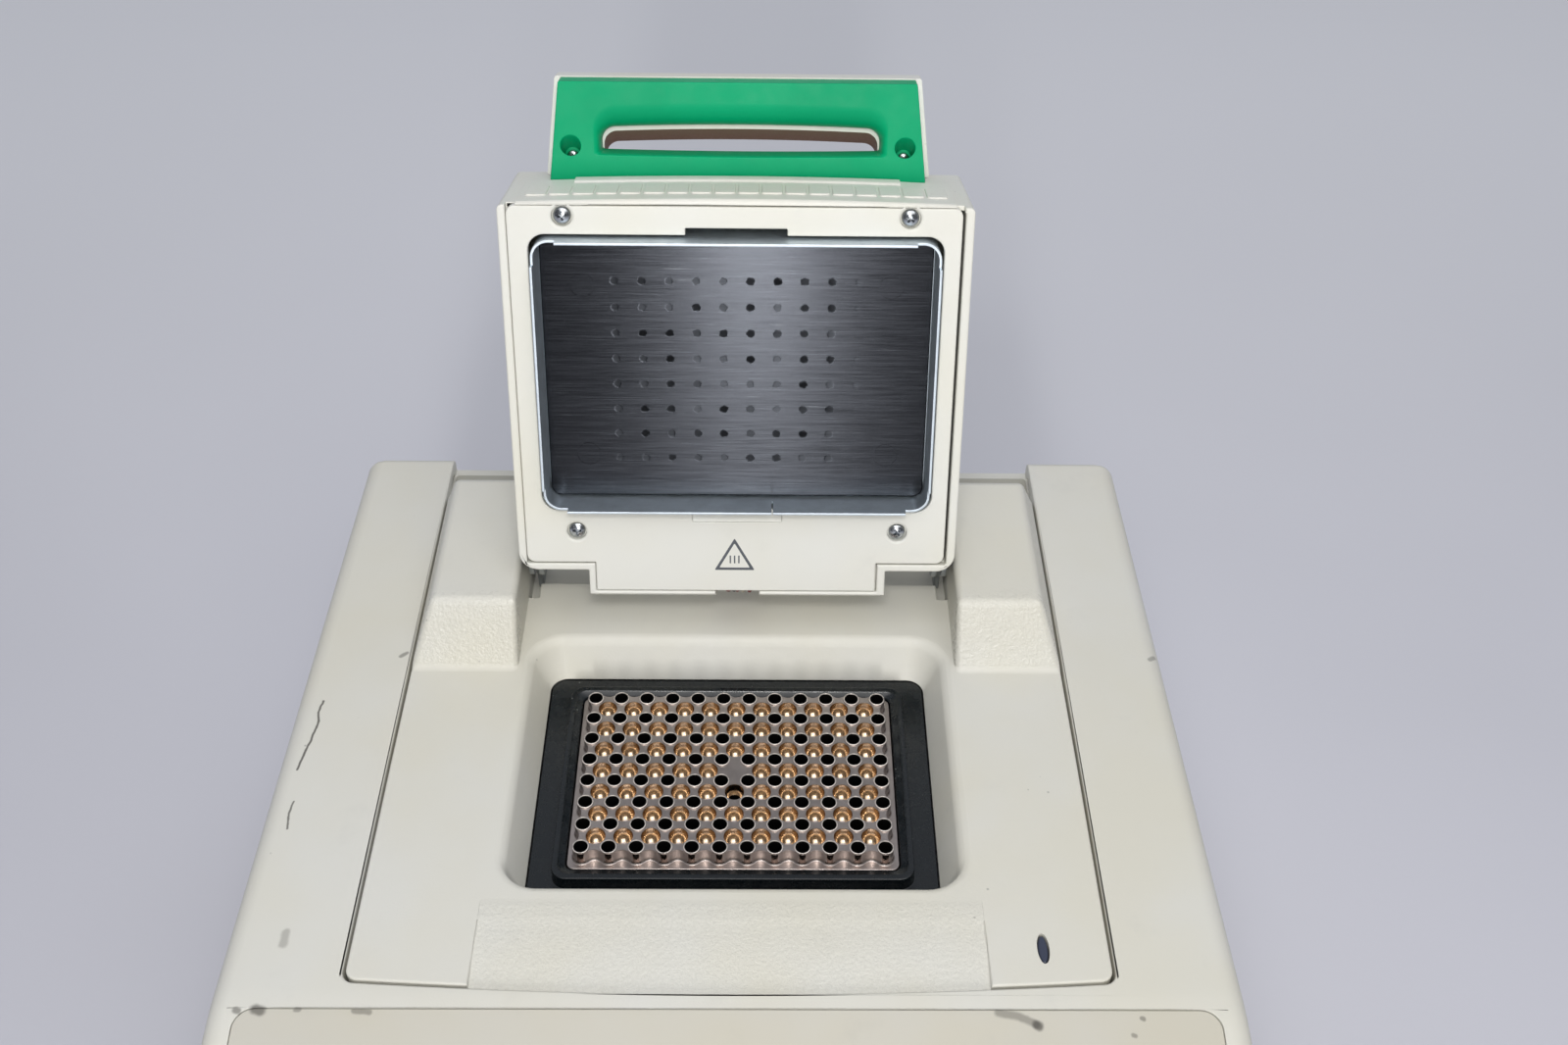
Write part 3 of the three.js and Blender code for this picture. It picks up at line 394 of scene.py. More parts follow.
class Look:
    """One procedural material round a Principled shader. Textures are in object space, in metres."""

    def __init__(self, name, colour, roughness, metallic=0.0, **sockets):
        self.material = bpy.data.materials.new(name)
        self.material.use_nodes = True
        self.tree = self.material.node_tree
        self.shader = self.tree.nodes["Principled BSDF"]
        self.colour = (*colour, 1.0)
        self.shader.inputs["Base Color"].default_value = self.colour
        self.shader.inputs["Roughness"].default_value = roughness
        self.shader.inputs["Metallic"].default_value = metallic
        for socket, value in sockets.items():
            self.shader.inputs[socket.replace("_", " ")].default_value = value
        self.space = self.node("TexCoord").outputs["Object"]

    def node(self, kind, *values, **settings):
        """Adds a node. Values go to its inputs in order: numbers, colours, or sockets to link."""
        made = self.tree.nodes.new("ShaderNode" + kind)
        for key, value in settings.items():
            setattr(made, key, value)
        for socket, value in zip(made.inputs, values):
            self.feed(socket, value)
        return made

    def feed(self, socket, value):
        if isinstance(value, bpy.types.NodeSocket):
            self.tree.links.new(value, socket)
        elif value is not None:
            socket.default_value = value

    def set(self, socket, value):
        self.feed(self.shader.inputs[socket], value)
        return self

    def math(self, operation, *values):
        return self.node("Math", *values, operation=operation).outputs[0]

    def times(self, value, *factors):
        for factor in factors:
            value = self.math("MULTIPLY", value, factor)
        return value

    def stretched(self, x, y, z):
        return self.node("VectorMath", self.space, (x, y, z), operation="MULTIPLY").outputs[0]

    def noise(self, size, detail=2.0, rough=0.5, space=None):
        """Noise whose blotches are about size millimetres across, from 0 to 1."""
        made = self.node("TexNoise")
        made.inputs["Scale"].default_value = 1 / (size * MM)
        made.inputs["Detail"].default_value = detail
        made.inputs["Roughness"].default_value = rough
        self.feed(made.inputs["Vector"], space or self.space)
        return made.outputs[0]

    def cells(self, size, space=None, feature="F1"):
        made = self.node("TexVoronoi", feature=feature)
        made.inputs["Scale"].default_value = 1 / (size * MM)
        self.feed(made.inputs["Vector"], space or self.space)
        return made.outputs[0]

    def ramp(self, value, low, high, at_low=0.0, at_high=1.0):
        """A smooth step of value between low and high."""
        made = self.node("MapRange", value, low, high, at_low, at_high, interpolation_type="SMOOTHSTEP")
        return made.outputs[0]

    def blend(self, share, one, other):
        """The first colour where share is 0, the other where it is 1."""
        made = self.node("Mix", data_type="RGBA")
        self.feed(made.inputs[0], share)
        self.feed(made.inputs[6], one)
        self.feed(made.inputs[7], other)
        return made.outputs[2]

    def bumped(self, *layers):
        """Bump from (height, distance in millimetres) layers, one over the other."""
        normal = None
        for height, distance in layers:
            made = self.node("Bump")
            made.inputs["Distance"].default_value = distance * MM
            self.feed(made.inputs["Height"], height)
            self.feed(made.inputs["Normal"], normal)
            normal = made.outputs[0]
        return self.set("Normal", normal)

    def shade_of(self, factor):
        return tuple(c * factor for c in self.colour[:3]) + (1.0,)


def stroke(look, points, width, space):
    """How close a point on the deck is to a drawn line: 1 on it and 0 away from it. Sizes in millimetres."""
    nearest = None
    for (ax, ay), (bx, by) in zip(points, points[1:]):
        start = look.node("VectorMath", space, (ax * MM, ay * MM, 0), operation="SUBTRACT").outputs[0]
        run = Vector((bx - ax, by - ay, 0)) * MM
        dot = look.node("VectorMath", start, run / run.length_squared, operation="DOT_PRODUCT").outputs[1]
        share = look.node("Clamp", dot, 0.0, 1.0).outputs[0]
        foot = look.node("VectorMath", run, operation="SCALE")
        look.feed(foot.inputs["Scale"], share)
        gap = look.node("VectorMath", start, foot.outputs[0], operation="DISTANCE").outputs[1]
        nearest = gap if nearest is None else look.math("MINIMUM", nearest, gap)
    return look.ramp(nearest, width * MM * 0.35, width * MM, 1.0, 0.0)


def moulded(name, colour, grain=0.55, depth=0.05, roughness=0.5, marks_from=None, coarse=None):
    """Moulded plastic: spark-eroded grain, slight yellowing, handling dirt and, on the deck, a few marks.

    coarse(look) may give where the grain is coarse and shiny, from 0 to 1.
    """
    look = Look(name, colour, roughness, Specular_IOR_Level=0.42)
    tone = look.noise(90, 3, 0.6)
    dirt = look.ramp(look.noise(26, 5, 0.68), 0.56, 0.82)
    specks = look.ramp(look.cells(11), 0.028, 0.045, 1.0, 0.0)
    warm = (look.colour[0] * 0.985, look.colour[1] * 0.965, look.colour[2] * 0.90, 1.0)
    base = look.blend(look.ramp(tone, 0.3, 0.7), look.colour, warm)
    base = look.blend(look.times(dirt, 0.28), base, look.shade_of(0.80))
    patchy = look.ramp(look.noise(60, 2), 0.52, 0.66)
    base = look.blend(look.times(specks, patchy, 0.5), base, look.shade_of(0.35))
    if marks_from is not None:
        base = deck_marks(look, base, marks_from)
    look.set("Base Color", base)
    fine = look.noise(grain, 2, 0.6)
    gloss = look.ramp(look.noise(grain * 2.2, 3), 0.25, 0.75, roughness - 0.07, roughness + 0.09)
    layers = [(look.noise(14, 2), 0.05), (fine, depth)]
    if coarse is not None:
        where = coarse(look)
        gloss = look.math("SUBTRACT", gloss, look.times(where, 0.2))
        layers.append((look.times(look.noise(1.3, 3, 0.6), where), 0.3))
    look.set("Roughness", gloss)
    return look.bumped(*layers).material


def coarse_areas(look):
    """The thumb rest at the front of the module, and the shoulders' front breaks."""
    x, y, z = look.node("SeparateXYZ", look.space).outputs
    half = PATCH["half"] * MM
    beside = look.ramp(look.math("ABSOLUTE", x), half - 0.2 * MM, half + 0.1 * MM, 1.0, 0.0)
    before = look.ramp(y, (PATCH["grain_start"] - 3) * MM, PATCH["grain_start"] * MM, 1.0, 0.0)
    raised = look.ramp(z, (DECK + 0.6) * MM, (DECK + 2) * MM)
    break_front = look.ramp(y, 54 * MM, 62 * MM, 1.0, 0.25)
    return look.math("MAXIMUM", look.times(beside, before), look.times(raised, break_front))


# Pencil lines, knocks and smudges on the flat top and the fold, as strings of deck points and a width.
DECK_STROKES = (
    ([(-143.4, 26), (-144.2, 21), (-143.2, 17), (-144.4, 7), (-146.2, -4)], 0.55, 0.85),
    ([(-144.4, -17), (-145.0, -22), (-144.2, -28)], 0.5, 0.75),
    ([(-119.9, 47.2), (-118.3, 48.6)], 1.1, 0.55),
    ([(148.2, 47.4), (150.6, 49.6)], 1.0, 0.45),
    ([(-136.2, -66.4), (-136.1, -70.6)], 1.9, 0.35),
    ([(-145.4, -92.6), (-144.6, -92.8)], 1.5, 0.6),
    ([(-139.6, -92.2), (-138.0, -92.9)], 2.3, 0.7),
    ([(-127.6, -92.6), (-126.6, -92.6)], 1.1, 0.5),
    ([(-110.5, -92.9), (-106.0, -93.3)], 1.2, 0.5),
    ([(79.5, -93.0), (85.6, -94.2), (90.6, -96.4)], 1.7, 0.5),
    ([(90.6, -96.6), (91.4, -97.0)], 1.9, 0.8),
    ([(122.0, -94.6), (122.5, -94.8)], 1.0, 0.55),
    ([(118.8, -99.6), (119.3, -99.8)], 1.0, 0.5),
)


SWAY = 0.9 * MM  # how far a mark wanders from its line


def deck_marks(look, base, origin):
    """Draws the marks on a surface seen from above. origin is how far its own Y starts from the grid's."""
    flat = look.node("VectorMath", look.stretched(1, 1, 0), (0, origin * MM, 0), operation="ADD").outputs[0]
    wobble = look.node("TexNoise")
    wobble.inputs["Scale"].default_value = 1 / (3.2 * MM)
    look.feed(wobble.inputs["Vector"], look.space)
    shift = look.node("VectorMath", wobble.outputs[1], (SWAY, SWAY, 0), operation="MULTIPLY").outputs[0]
    bent = look.node("VectorMath", flat, shift, operation="ADD").outputs[0]
    bent = look.node("VectorMath", bent, (SWAY / 2, SWAY / 2, 0), operation="SUBTRACT").outputs[0]
    for points, width, strength in DECK_STROKES:
        line = look.times(stroke(look, points, width, bent), strength)
        base = look.blend(line, base, rgba(64, 60, 54))
    return base


def satin(name, colour, roughness, bump=0.02, size=1.2, variety=0.08, **sockets):
    """Plain coloured plastic or rubber with a light orange peel and uneven gloss."""
    look = Look(name, colour, roughness, **sockets)
    tone = look.ramp(look.noise(30, 4, 0.6), 0.3, 0.7)
    look.set("Base Color", look.blend(tone, look.shade_of(1 + variety), look.shade_of(1 - variety)))
    gloss = look.ramp(look.noise(9, 4, 0.65), 0.3, 0.72, roughness - 0.05, roughness + 0.08)
    look.set("Roughness", gloss)
    return look.bumped((look.noise(size, 2), bump)).material


def dusty_black(name):
    """Satin black moulding with a blue cast, dust specks and rubbed lighter patches."""
    look = Look(name, srgb(8, 15, 19), 0.3, Specular_IOR_Level=0.6)
    rubbed = look.ramp(look.noise(8, 5, 0.7), 0.55, 0.8)
    base = look.blend(look.times(rubbed, 0.4), look.colour, rgba(24, 34, 38))
    specks = look.ramp(look.cells(3.1), 0.05, 0.09, 1.0, 0.0)
    sparse = look.ramp(look.noise(9, 2), 0.56, 0.66)
    base = look.blend(look.times(specks, sparse, 0.7), base, rgba(150, 155, 150))
    look.set("Base Color", base)
    look.set("Roughness", look.ramp(look.noise(5, 4, 0.6), 0.3, 0.7, 0.2, 0.34))
    return look.bumped((look.noise(0.5, 2), 0.02)).material


def metal(name, colour, roughness, grain=(1, 1, 1), size=0.6, bump=0.01, stain=0.1, **sockets):
    """Bare metal. grain stretches the noise: a small number along the way it was brushed or rolled."""
    look = Look(name, colour, roughness, 1.0, **sockets)
    space = look.stretched(*grain)
    stains = look.ramp(look.noise(7, 5, 0.65), 0.35, 0.75)
    look.set("Base Color", look.blend(stains, look.shade_of(1.0), look.shade_of(1 - stain)))
    lines = look.noise(size, 4, 0.65, space)
    look.set("Roughness", look.ramp(lines, 0.25, 0.75, roughness - 0.06, roughness + 0.1))
    return look.bumped((lines, bump)).material


def heated_black():
    """Black anodised plate, brushed across, with the rings that tube caps have pressed into it."""
    look = Look("anodised_black", srgb(52, 54, 58), 0.25, 1.0, Anisotropic=0.9)
    up_the_lid = look.node(
        "VectorTransform", (0, 1, 0), vector_type="VECTOR", convert_from="OBJECT", convert_to="WORLD"
    )
    brush = look.noise(0.42, 5, 0.7, look.stretched(0.022, 1, 1))
    x, y, _ = look.node("SeparateXYZ", look.space).outputs
    across = look.math("DIVIDE", x, WELL_PITCH * MM)
    first_row = (PLATE_CENTRE - 3.5 * WELL_PITCH) * MM
    up = look.math("ADD", look.math("DIVIDE", look.math("SUBTRACT", y, first_row), WELL_PITCH * MM), 0.5)
    dx = look.math("SUBTRACT", look.math("FRACT", across), 0.5)
    dy = look.math("SUBTRACT", look.math("FRACT", up), 0.5)
    flat = look.node("CombineXYZ", dx, dy, 0.0).outputs[0]
    ragged = look.times(look.math("SUBTRACT", look.noise(1.1, 3, 0.7), 0.5), 0.16)
    radius = look.math("ADD", look.node("VectorMath", flat, operation="LENGTH").outputs[1], ragged)
    cell = look.node("CombineXYZ", look.math("FLOOR", across), look.math("FLOOR", up), 0.0).outputs[0]
    chance = look.node("TexWhiteNoise", cell, noise_dimensions="3D").outputs[0]
    strength = look.ramp(chance, 0.1, 0.95, 0.25, 1.0)
    middle = look.math("ABSOLUTE", look.math("ADD", x, 3.5 * MM))
    inside_x = look.ramp(middle, 31 * MM, 46 * MM, 1.0, 0.0)
    off_centre = look.math("ABSOLUTE", look.math("SUBTRACT", y, PLATE_CENTRE * MM))
    inside_y = look.math("LESS_THAN", off_centre, 4 * WELL_PITCH * MM)
    dot = look.times(look.ramp(radius, 0.09, 0.17, 1.0, 0.0), inside_x, inside_y, strength)
    tone = look.blend(look.ramp(brush, 0.3, 0.7), look.shade_of(0.8), look.shade_of(1.25))
    scratches = look.ramp(look.noise(1.6, 6, 0.75, look.stretched(0.05, 1, 1)), 0.62, 0.7)
    tone = look.blend(look.times(scratches, 0.3), tone, rgba(110, 114, 118))
    look.set("Base Color", look.blend(look.times(dot, 0.9), tone, rgba(9, 10, 11)))
    gloss = look.ramp(brush, 0.25, 0.75, 0.21, 0.28)
    look.set("Roughness", look.math("ADD", gloss, look.times(dot, 0.3)))
    look.set("Tangent", up_the_lid.outputs[0])
    return look.bumped((brush, 0.012), (look.times(dot, -1.0), 0.06)).material


def circuit(name):
    """Green solder mask with tracks."""
    look = Look(name, srgb(30, 92, 58), 0.35, Coat_Weight=0.4)
    tracks = look.node("TexBrick", look.space)
    tracks.inputs["Scale"].default_value = 1 / (9 * MM)
    tracks.inputs["Mortar Size"].default_value = 0.03
    base = look.blend(tracks.outputs[1], look.colour, rgba(58, 130, 84))
    look.set("Base Color", base)
    return look.bumped((tracks.outputs[1], 0.04)).material


def glass(name):
    look = Look(name, srgb(215, 225, 218), 0.06, Transmission_Weight=0.92, IOR=1.49)
    smear = look.ramp(look.noise(22, 4, 0.7), 0.4, 0.8, 0.04, 0.16)
    look.set("Roughness", smear)
    return look.bumped((look.noise(30, 2), 0.02)).material


def liquid_crystal(name):
    """An unlit character display: rows of blank cells on a grey-green field."""
    look = Look(name, srgb(120, 136, 104), 0.4)
    cells = look.node("TexBrick", look.space, offset=0.0)
    cells.inputs["Scale"].default_value = 1 / (4.6 * MM)
    cells.inputs["Mortar Size"].default_value = 0.06
    cells.inputs["Brick Width"].default_value = 0.62
    cells.inputs["Row Height"].default_value = 1.0
    look.set("Base Color", look.blend(cells.outputs[1], look.shade_of(0.93), look.colour))
    return look.bumped((look.noise(0.4, 2), 0.004)).material


BEIGE = srgb(211, 210, 203)
BEIGE_DARK = srgb(196, 191, 176)

deck_plastic = moulded("beige_deck", BEIGE, 0.8, 0.035, 0.46, marks_from=0)
cover_plastic = moulded("beige_cover", BEIGE, 0.8, 0.04, 0.46, coarse=coarse_areas)
plain_plastic = moulded("beige_plain", BEIGE, 0.8, 0.04, 0.46)
# A brown copy of the beige for the walls inside the handle's slot: painted shade.
slot_painted_shade = moulded("beige_slot_painted_shade", srgb(136, 106, 92), 0.5, 0.03, 0.6)
lid_plastic = moulded("beige_lid", srgb(223, 223, 217), 0.5, 0.022, 0.42)
lower_plastic = moulded("beige_lower", BEIGE_DARK, 1.0, 0.07, 0.52)
rear_strip_grey = satin("grey_strip", srgb(168, 166, 155), 0.6, 0.03, 0.8, 0.03)
green_plastic = satin("green_handle", srgb(0, 160, 108), 0.42, 0.012, 1.6, 0.04, Specular_IOR_Level=0.16)
black_moulding = dusty_black("black_frame")
black_plastic = satin("black_plastic", srgb(24, 25, 27), 0.5, 0.03, 0.7)
rubber = satin("black_rubber", srgb(30, 30, 30), 0.8, 0.06, 0.9, 0.12)
block_metal = metal("block_metal", srgb(182, 172, 167), 0.36, size=0.5, bump=0.012, stain=0.18)
# A darker, glossier copy of the block metal for the block's outer walls: the darker colour is painted shade, the
# lower roughness their gloss.
wall_metal_painted_shade = metal("wall_metal_painted_shade", srgb(116, 100, 92), 0.14, size=0.5, bump=0.008, stain=0.2)
# A brighter copy of the block metal on the rims of the well mouths: a painted highlight.
rim_painted_highlight = metal("rim_painted_highlight", srgb(250, 242, 234), 0.5, size=0.5, bump=0.006, stain=0.05)
cup_metal = metal("cup_gold", srgb(212, 188, 160), 0.17, size=0.9, bump=0.008, stain=0.2)
# Near-black painted shade for the inside of the wells and the sensor hole.
well_painted_shade = satin("well_painted_shade", srgb(7, 6, 6), 0.6, 0.01, 0.8, 0.2, Specular_IOR_Level=0.08)
plate_black = heated_black()
skirt_steel = metal("skirt_steel", srgb(214, 224, 232), 0.5, (0.06, 1, 1), 0.5, 0.006, 0.12)
sheet_steel = metal("sheet_steel", srgb(158, 162, 166), 0.36, (1, 0.1, 1), 0.7, 0.01, 0.12)
aluminium = metal("aluminium", srgb(186, 188, 190), 0.38, (0.1, 1, 1), 0.6, 0.008, 0.08)
zinc = metal("zinc", srgb(196, 200, 204), 0.2, size=0.35, bump=0.006, stain=0.3)
wire_metal = metal("wire_metal", srgb(190, 192, 195), 0.18, size=0.5, bump=0.004, stain=0.1)
painted = satin("grey_paint", srgb(184, 183, 173), 0.55, 0.05, 0.7, 0.03)
lens_smoke = satin("smoked_lens", srgb(46, 52, 70), 0.14, 0.01, 1.0, 0.2, Coat_Weight=0.6)
board_green = circuit("solder_mask")
ceramic = satin("ceramic_white", srgb(232, 229, 220), 0.45, 0.02, 0.4, 0.03)
silicone = satin("silicone_red", srgb(176, 84, 48), 0.7, 0.05, 1.0, 0.08)
clear_window = glass("clear_window")
display_green = liquid_crystal("display_cells")
overlay_print = moulded("overlay_beige", srgb(194, 191, 181), 0.35, 0.012, 0.4, marks_from=PANEL_START)
key_grey = satin("key_grey", srgb(122, 128, 132), 0.45, 0.015, 0.5, 0.03)
key_dark = satin("key_dark", srgb(62, 70, 80), 0.42, 0.015, 0.5, 0.03)
key_green = satin("key_green", srgb(24, 140, 94), 0.42, 0.015, 0.5, 0.03)
key_red = satin("key_red", srgb(170, 52, 44), 0.42, 0.015, 0.5, 0.03)
ink = satin("grey_ink", srgb(84, 88, 94), 0.5, 0.01, 0.4, 0.08)
wire_red = satin("wire_red", srgb(120, 26, 22), 0.45, 0.02, 0.6)
wire_black = satin("wire_black", srgb(26, 24, 24), 0.45, 0.02, 0.6)
wire_white = satin("wire_white", srgb(176, 170, 150), 0.45, 0.02, 0.6)

LOOK_OF = {
    "housing_beige": plain_plastic,
    "housing_lower": lower_plastic,
    "handle_green": green_plastic,
    "frame_black": black_moulding,
    "black_plastic": black_plastic,
    "foot_rubber": rubber,
    "panel_print": overlay_print,
    "display_clear": clear_window,
    "circuit_board": board_green,
    "sheet_steel": sheet_steel,
    "sheet_aluminium": aluminium,
    "painted_panel": painted,
    "guard_wire": wire_metal,
    "block_metal": block_metal,
    "anodised_plate": plate_black,
    "peltier_ceramic": ceramic,
    "zinc_screw": zinc,
    "smoked_lens": lens_smoke,
    "silicone_mat": silicone,
    "cable_red": wire_red,
}


# ---- Chassis ----


def half_width(y):
    share = (BACK - y) / (BACK - FRONT)
    return HALF_WIDTH_BACK + share * (HALF_WIDTH_FRONT - HALF_WIDTH_BACK)


FOLD = 7  # half the length over which the flat top bends into the slope


def top_height(y):
    past = PANEL_START + FOLD - y
    if past <= 0:
        return DECK
    if past < 2 * FOLD:
        return DECK - math.tan(PANEL_TILT) * past**2 / (4 * FOLD)
    return DECK - math.tan(PANEL_TILT) * (past - FOLD)


def body_ring(y, half, top, bottom, radius):
    corners = arc((half - radius, top - radius), radius, 0, 90, 10)
    corners += arc((-half + radius, top - radius), radius, 90, 180, 10)
    return [(-half, y, bottom), (half, y, bottom)] + [(x, y, z) for x, z in corners]


def body(inset):
    """The chassis's outer shape, drawn in by an inset on every side."""
    radius = 7 - inset / 2
    bottom = FLOOR + inset
    rings = []
    front_radius, back_radius = 14, 4
    start = FRONT + front_radius
    for i in range(10, -1, -1):
        angle = i / 10 * math.pi / 2
        y = start - front_radius * math.sin(angle) + inset
        drawn_in = front_radius * (1 - math.cos(angle)) + inset
        rings.append(body_ring(y, half_width(start) - drawn_in, top_height(start) - drawn_in, bottom, radius))
    for i in range(7):
        y = PANEL_START - FOLD + i * FOLD / 3
        rings.append(body_ring(y, half_width(y) - inset, top_height(y) - inset, bottom, radius))
    for i in range(5):
        angle = i / 4 * math.pi / 2
        y = BACK - back_radius + back_radius * math.sin(angle) - inset
        drawn_in = back_radius * (1 - math.cos(angle)) + inset
        rings.append(body_ring(y, half_width(y) - drawn_in, DECK - drawn_in, bottom, radius))
    return solid(rings)


def module_plan(margin):
    half, front, back, corner = MODULE_HALF_WIDTH + margin, MODULE_FRONT - margin, MODULE_BACK + margin, 4
    bow = []
    for i in range(1, 24):
        t = i / 24
        x = (2 * t - 1) * (half - corner)
        bow.append((x, front - 4 * t * (1 - t) * MODULE_BULGE))
    return [
        (half, back),
        (-half, back),
        *arc((-half + corner, front + corner), corner, 180, 270, 6),
        *bow,
        *arc((half - corner, front + corner), corner, -90, 0, 6),
    ]


def everything(z_low, z_high):
    return block((-300, 300), (-400, 300), (z_low, z_high))


def back_opening():
    return block((-138, 138), (BACK - WALL - 3, BACK + 5), (-176, -24))


def in_panel(piece):
    turn = Matrix.Translation((0, PANEL_START, DECK)) @ Matrix.Rotation(PANEL_TILT, 4, "X")
    piece.data.transform(turn)
    return piece


DISPLAY = {"half": 62, "low": -84, "high": -36}
BASE_SCREWS = [(x, y) for x in (-104, 104) for y in (-250, -70, 120)]


def upper_housing():
    shell = cut(body(0), body(WALL), everything(-400, SPLIT))
    collar = cut(
        prism(module_plan(MODULE_ROOM + SKIN), "z", -24, DECK - 1),
        block((-300, 300), (BACK - WALL - 1, 300), (-60, DECK)),
    )
    crossbar = block((-120, 120), (MODULE_BACK + MODULE_ROOM, BACK - 1), (-14, LEDGE - 1))
    side = MODULE_HALF_WIDTH + MODULE_ROOM
    joined(shell, collar, crossbar)
    cut(
        shell,
        prism(module_plan(MODULE_ROOM), "z", -25, DECK + 1),
        block((-side, side), (MODULE_BACK, BACK + 1), (LEDGE - 1, DECK + 1)),
        back_opening(),
        in_panel(prism(rounded(-145.8, 145.8, -178, 0, 6), "z", -1.2, 6)),
        in_panel(block((-DISPLAY["half"], DISPLAY["half"]), (DISPLAY["low"], DISPLAY["high"]), (-6, 2))),
    )

    def width(at):
        on_deck = abs(at.z - DECK) < 0.4 and at.y > PANEL_START + 2
        return 0.9 if on_deck else 0.35

    softened(tidied(shell, x=(-132, 0, 132), y=(PANEL_START + 0.2,)), 0.9, 3, wanted=width)
    place(shell, "upper_housing_shell", BENCH, deck_plastic, "upper_housing")
    # A thin sheet laid on the crossbar behind the module, a darker grey than the deck.
    strip_plan = rounded(-115.9, 115.9, MODULE_BACK + 1.2, BACK - 4.2, 1.5, 4)
    strip = slab(strip_plan, "z", LEDGE - 1, LEDGE - 0.2, 0.3)
    place(strip, "rear_strip", BENCH, rear_strip_grey, body="chassis")


def lower_housing():
    lower = cut(body(0), body(WALL), everything(SPLIT - GAP, 400), back_opening())
    side_slots = [
        prism(rounded(y - 2.5, y + 2.5, -158, -112, 2.4, 4), "x", -200, 200)
        for y in [10 + (i - 5.5) * 11 for i in range(12)]
    ]
    front_slots = [
        prism(rounded(-166, -148, x - 4, x + 4, 3.2, 4), "y", FRONT - 5, FRONT + WALL + 5)
        for x in [(i - 5.5) * 16 for i in range(12)]
    ]
    wells = [turned([(4.6, FLOOR - 1), (4.6, FLOOR + 2.2)], at) for at in BASE_SCREWS]
    cut(lower, merged(*side_slots), merged(*front_slots), merged(*wells))
    softened(tidied(lower), 0.7, 3, wanted=lambda at: 0.7 if at.z > SPLIT - 2 else 0.45)
    place(lower, "lower_housing_shell", BENCH, lower_plastic, "lower_housing")


def cross_recess(size, depth):
    """The tapered cross of a Phillips screw, pointing down from z 0."""
    bars = []
    for turn in (0, 90):
        rings = []
        for share, z in ((1.0, 0.3), (0.9, 0), (0.42, -depth)):
            half, wide = size * share, size * 0.24 * (0.55 + 0.45 * share)
            rings.append([(-half, -wide, z), (half, -wide, z), (half, wide, z), (-half, wide, z)])
        bars.append(moved(solid(rings), turn=turn))
    return joined(*bars)


def pan_screw(radius, height, shank, length):
    """A pan head with a cross recess. Its underside is at z 0."""
    angles = [math.radians(angle) for angle in range(0, 90, 15)]
    dome = [(radius * math.cos(t), height * (0.42 + 0.58 * math.sin(t))) for t in angles]
    profile = [(shank, -length), (shank, 0), (radius * 0.97, 0), (radius, height * 0.12), *dome, (0, height)]
    screw = turned(profile, steps=40)
    cut(screw, moved(cross_recess(radius * 0.62, height * 0.8), (0, 0, height * 0.94)))
    return screw


def screw_at(name, grid, at, node=None, body=None, radius=2.85, height=1.8, length=2, flip=False, turn=20):
    screw = moved(pan_screw(radius, height, radius * 0.5, length), turn=turn)
    if flip:
        moved(screw, turn=180, axis="X")
    return place(moved(screw, at), name, grid, zinc, node=node, body=body)


def feet():
    top, bottom = FLOOR - GAP, FLOOR - 10
    outside = [(3.2, top), (8.6, top), (9.0, top - 0.5), (9.0, bottom + 2.2), (8.6, bottom + 0.9)]
    sole = [(7.9, bottom + 0.2), (7.3, bottom), (4.6, bottom), (4.2, bottom + 0.4), (3.4, bottom + 3.2)]
    for side, sign in SIDES:
        for end, y in (("front", FRONT + 34), ("back", BACK - 30)):
            node = f"foot_{end}_{side}"
            foot = turned(outside + sole, (sign * 130, y), steps=40)
            place(foot, node + "_rubber", BENCH, rubber, node)


def base_screws():
    for i, (x, y) in enumerate(BASE_SCREWS):
        screw_at(f"base_screw_{i + 1}", BENCH, (x, y, FLOOR + 2.1), body="chassis", radius=3.4, height=1.6,
                 length=1, flip=True, turn=15 * i)


# ---- Control panel ----


def display_outline(margin, corner):
    """The display's opening in the panel, grown by a margin."""
    half = DISPLAY["half"] + margin
    return rounded(-half, half, DISPLAY["low"] - margin, DISPLAY["high"] + margin, corner)


def panel():
    overlay = slab(rounded(-145.5, 145.5, -177.7, -0.3, 6), "z", -0.9, -0.1, 0.2)
    cut(overlay, prism(display_outline(0.2, 2), "z", -3, 3))
    place(overlay, "overlay_sheet", PANEL, overlay_print, "panel_overlay")
    border = slab(display_outline(5, 4), "z", -0.5, 0.1, 0.25)
    cut(border, prism(display_outline(-0.2, 1.6), "z", -3, 3))
    place(border, "display_border", PANEL, key_dark, body="chassis")
    window = slab(display_outline(-GAP, 1.5), "z", -2.2, -0.4, 0.2)
    place(window, "display_pane", PANEL, clear_window, "display_window")
    screen = slab(rounded(-54, 54, DISPLAY["low"] + 5, DISPLAY["high"] - 5, 1), "z", -3.6, -2.8, 0.1)
    place(screen, "display_screen", PANEL, display_green, body="chassis")
    keys()


def key(x, y, half_x, half_y):
    """A sealed key: a low pillow moulded in the sheet, with a slight dish."""
    rings = []
    for inset, z in ((0, -0.3), (0, 0.02), (0.25, 0.22), (0.8, 0.45), (1.5, 0.5), (2.4, 0.44)):
        wide, deep = half_x - inset, half_y - inset
        outline = rounded(x - wide, x + wide, y - deep, y + deep, max(0.4, 2.6 - inset), 5)
        rings.append(at_height(outline, z))
    return solid(rings)


